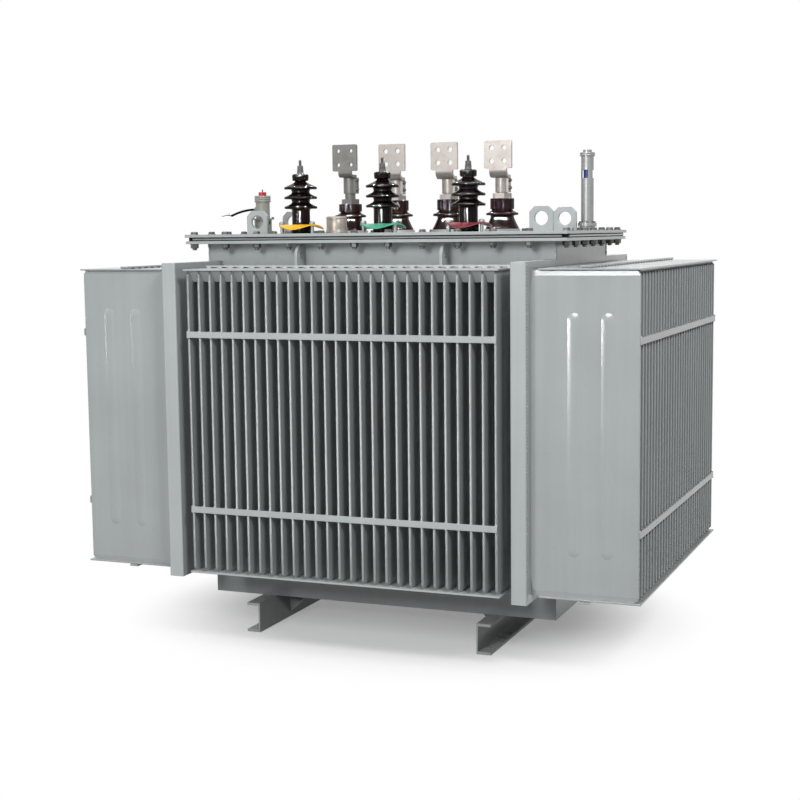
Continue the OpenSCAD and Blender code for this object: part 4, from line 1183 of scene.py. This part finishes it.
for side, (x, collar_top) in LV_PIECES.items():
    bushing = turned(side + "_lv_porcelain", low_voltage_outline(collar_top), (0.0, 0.0, 0.0), steps=LV_STEPS)
    flute(bushing, (0,), 3.2)
    flute(bushing, (1, FLUTE_STEPS - 1), 1.3)
    bushing.location = Vector((x, LV_Y, LV_SEAT))*MM
    settle(bushing, bushing.name, 50)
    dress(bushing, "brown_porcelain")
    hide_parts(side + "_lv_bushing")
    glazed.objects.link(bushing)
    print(bushing.name, len(bushing.data.polygons), "faces")

# %% [markdown]
# ## Terminal studs
#
# A threaded stud comes up through each tall bushing, and a washer and two nuts hold it. The thread is
# turned like the porcelain, from a zigzag outline. On the real stud it is a helix, but at this size rings
# look the same and need far fewer faces.

# %% Terminal studs
THREAD_DEPTH = 0.7
THREAD_PITCH = 2.0
STUD_RADIUS = 5.0
STUD_BOTTOM = 24.0
STUD_TOP = 46.5


def threaded_stud():
    """The stretch of stud above the nuts, on the origin's axis."""
    root = STUD_RADIUS - THREAD_DEPTH
    outline = [(0.0, STUD_BOTTOM), (root, STUD_BOTTOM)]
    z = STUD_BOTTOM
    while z + THREAD_PITCH <= STUD_TOP - 1.0:
        outline += [(STUD_RADIUS, z + THREAD_PITCH/2), (root, z + THREAD_PITCH)]
        z += THREAD_PITCH
    outline += [(STUD_RADIUS - 1.2, STUD_TOP), (0.0, STUD_TOP)]
    return turned("stud", outline, (0.0, 0.0, 0.0), steps=14, smooth_angle=20)


nuts = stack("terminal_nuts", (disc, 25, 3), (hexagon, 19, 11.5), (disc, 21, 2.5), (hexagon, 17, 11))
terminal = join([nuts, threaded_stud()], "terminal")
terminal_places = [
    at(i*HV_PITCH, HV_Y, DECK + HV_HEIGHT, chance.uniform(0, math.pi)) for i in (-1, 0, 1)]
terminals = dress(repeat(terminal, terminal_places, "hv_terminal_studs"), "zinc_steel")
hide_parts("hv_terminals")
print(terminals.name, len(terminals.data.polygons), "faces")

# %% [markdown]
# ## Clamp screws
#
# Two screws in the side of each clamp barrel pinch it on its stud. The heads are hexagons on washers. A
# model that stands upright is laid on its side with a quarter turn about Y, so that its top points along
# +X.

# %% Clamp screws
EAR_FACE = 28.0
EAR_MIDDLE = -8.5
PHASE_RISES = (36.0, 62.0)
NEUTRAL_RISES = (52.0, 86.0)

screw = stack("clamp_screw", (disc, 15, 1.8), (hexagon, 13, 5.5), (disc, 8, 2.5))
lay = Matrix.Rotation(QUARTER, 4, "Y")
screw_places = []
for side, (x, collar_top) in LV_PIECES.items():
    for rise in NEUTRAL_RISES if side == "neutral" else PHASE_RISES:
        place = at(x + EAR_FACE, LV_Y + EAR_MIDDLE, LV_SEAT + collar_top + rise)
        screw_places.append(place @ lay @ Matrix.Rotation(chance.uniform(0, math.pi), 4, "Z"))
dress(repeat(screw, screw_places, "clamp_screws"), "zinc_steel")
print(len(screw_places), "clamp screws")

# %% [markdown]
# ## Filler cap
#
# Oil goes in through a neck that is closed by a pressed cap. Its foot flares out on the cover, a rolled
# lip runs round under its crown, and the crown is rounded. It is turned like the porcelain.

# %% Filler cap
FILLER_X, FILLER_Y = -223.0, -120.0

cap_outline = [(0.0, 0.0), (39.0, 0.0), (39.3, 1.0), (38.6, 4.0), (36.8, 7.5), (35.4, 11.5), (35.0, 15.0)]
cap_outline += [(35.0, 16.0), (35.0, 45.0), (34.4, 45.8), (34.4, 47.0), (35.2, 47.8), (35.3, 49.0)]
cap_outline += arc((29.3, 51.0), 6.0, 5, 90, 7) + [(26.0, 56.6), (0.0, 56.9)]
cap = turned("filler_cap_shell", cap_outline, (FILLER_X, FILLER_Y, DECK), steps=48, smooth_angle=40)
dress(cap, "cap_metal")
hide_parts("filler_cap")
print(cap.name, len(cap.data.polygons), "faces")

# %% [markdown]
# ## Relief valve
#
# The valve blows off if pressure builds up in the tank. Its red button pops up to show that it has
# worked. The button is moulded with a rounded edge and a shallow dish, and a thin steel pin stands in it.

# %% Relief button and pin
VALVE_X, VALVE_Y = -536.0, -62.0
VALVE_TOP = side_of("relief_valve", 1, "z")

button_outline = [(0.0, 0.0), (14.0, 0.0), (14.0, 9.5)]
button_outline += arc((11.5, 10.5), 2.5, 0, 90, 4)
button_outline += [(8.5, 13.0), (7.5, 11.6), (0.0, 11.6)]
button = turned("relief_button", button_outline, (VALVE_X, VALVE_Y, VALVE_TOP), steps=32)
dress(button, "red_plastic")
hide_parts("relief_valve_cap")
pin_outline = [(0.0, 11.0), (2.2, 11.0), (2.2, 19.0), (3.0, 19.4), (3.0, 21.0), (2.0, 22.0), (0.0, 22.0)]
pin = turned("relief_pin", pin_outline, (VALVE_X, VALVE_Y, VALVE_TOP), steps=14)
dress(pin, "zinc_steel")
print(button.name, len(button.data.polygons), "faces,", pin.name, len(pin.data.polygons), "faces")

# %% [markdown]
# ### The valve's collar, screws and plug
#
# The collar under the button is turned with three rounded rings for grip. Four screws hold the valve's
# lip, and a black plug closes a port in its side.

# %% Collar, screws and plug
VALVE_LIP = DECK + 54.0
VALVE_SCREW_RADIUS = 35.0
PLUG_TURN = math.radians(-20)
PLUG_RISE = 38.0
PLUG_REACH = 30.0


def ring_band(name, place, radius, bottom, top, count, proud):
    """Turned ridges round a tube: rounded rings side by side between two heights."""
    pitch = (top - bottom)/count
    root, inside = radius - 0.3, radius - 1.0
    outline = [(inside, bottom)]
    for i in range(count):
        outline += arc((root, bottom + (i + 0.5)*pitch), radius + proud - root, -75, 75, 5)
        outline.append((root, bottom + (i + 1)*pitch))
    outline += [(inside, top), (inside, bottom)]
    return turned(name, outline, place, steps=40, smooth_angle=60)


def circle_of(x, y, z, radius, degrees):
    """Places round a circle, each turned to face outwards."""
    return [at(x + radius*math.cos(a), y + radius*math.sin(a), z, a) for a in map(math.radians, degrees)]


collar_rings = ring_band("valve_collar_rings", (VALVE_X, VALVE_Y, DECK), 28.0, 111.0, 133.0, 3, 1.6)
dress(collar_rings, "valve_metal")
lip_screw = stack("lip_screw", (disc, 9, 1.0), (hexagon, 8, 4.0))
lip_places = circle_of(VALVE_X, VALVE_Y, VALVE_LIP, VALVE_SCREW_RADIUS, (20, 110, 200, 290))
dress(repeat(lip_screw, lip_places, "valve_lip_screws"), "zinc_steel")
plug = stack("valve_plug", (disc, 12, 2), (hexagon, 8, 3))
plug_place = at(VALVE_X, VALVE_Y, DECK + PLUG_RISE, PLUG_TURN) @ lay @ at(0.0, 0.0, PLUG_REACH)
dress(repeat(plug, [plug_place], "valve_side_plug"), "gasket_rubber")
print("valve dressed with", len(lip_places), "screws")

# %% [markdown]
# ## Level gauge
#
# A float rides in the tube and shows in its windows. The tube's flange is held by screws, and two turned
# rings mark the joint of its cap.

# %% Level gauge
GAUGE_X, GAUGE_Y = 588.0, 160.0
GAUGE_FLANGE = DECK + 25.0
GAUGE_SCREW_RADIUS = 26.5
GAUGE_TOP = DECK + 249.0

gauge_screw = stack("gauge_screw", (disc, 10, 1.0), (hexagon, 9, 4.5))
gauge_places = circle_of(GAUGE_X, GAUGE_Y, GAUGE_FLANGE, GAUGE_SCREW_RADIUS, (-75, -15, 45, 105, 165, 225))
dress(repeat(gauge_screw, gauge_places, "gauge_flange_screws"), "zinc_steel")
cap_rings = ring_band("gauge_cap_rings", (GAUGE_X, GAUGE_Y, GAUGE_TOP), 25.0, 1.0, 12.0, 2, 1.3)
dress(cap_rings, "satin_metal")
print(len(gauge_places), "gauge screws,", cap_rings.name, len(cap_rings.data.polygons), "faces")
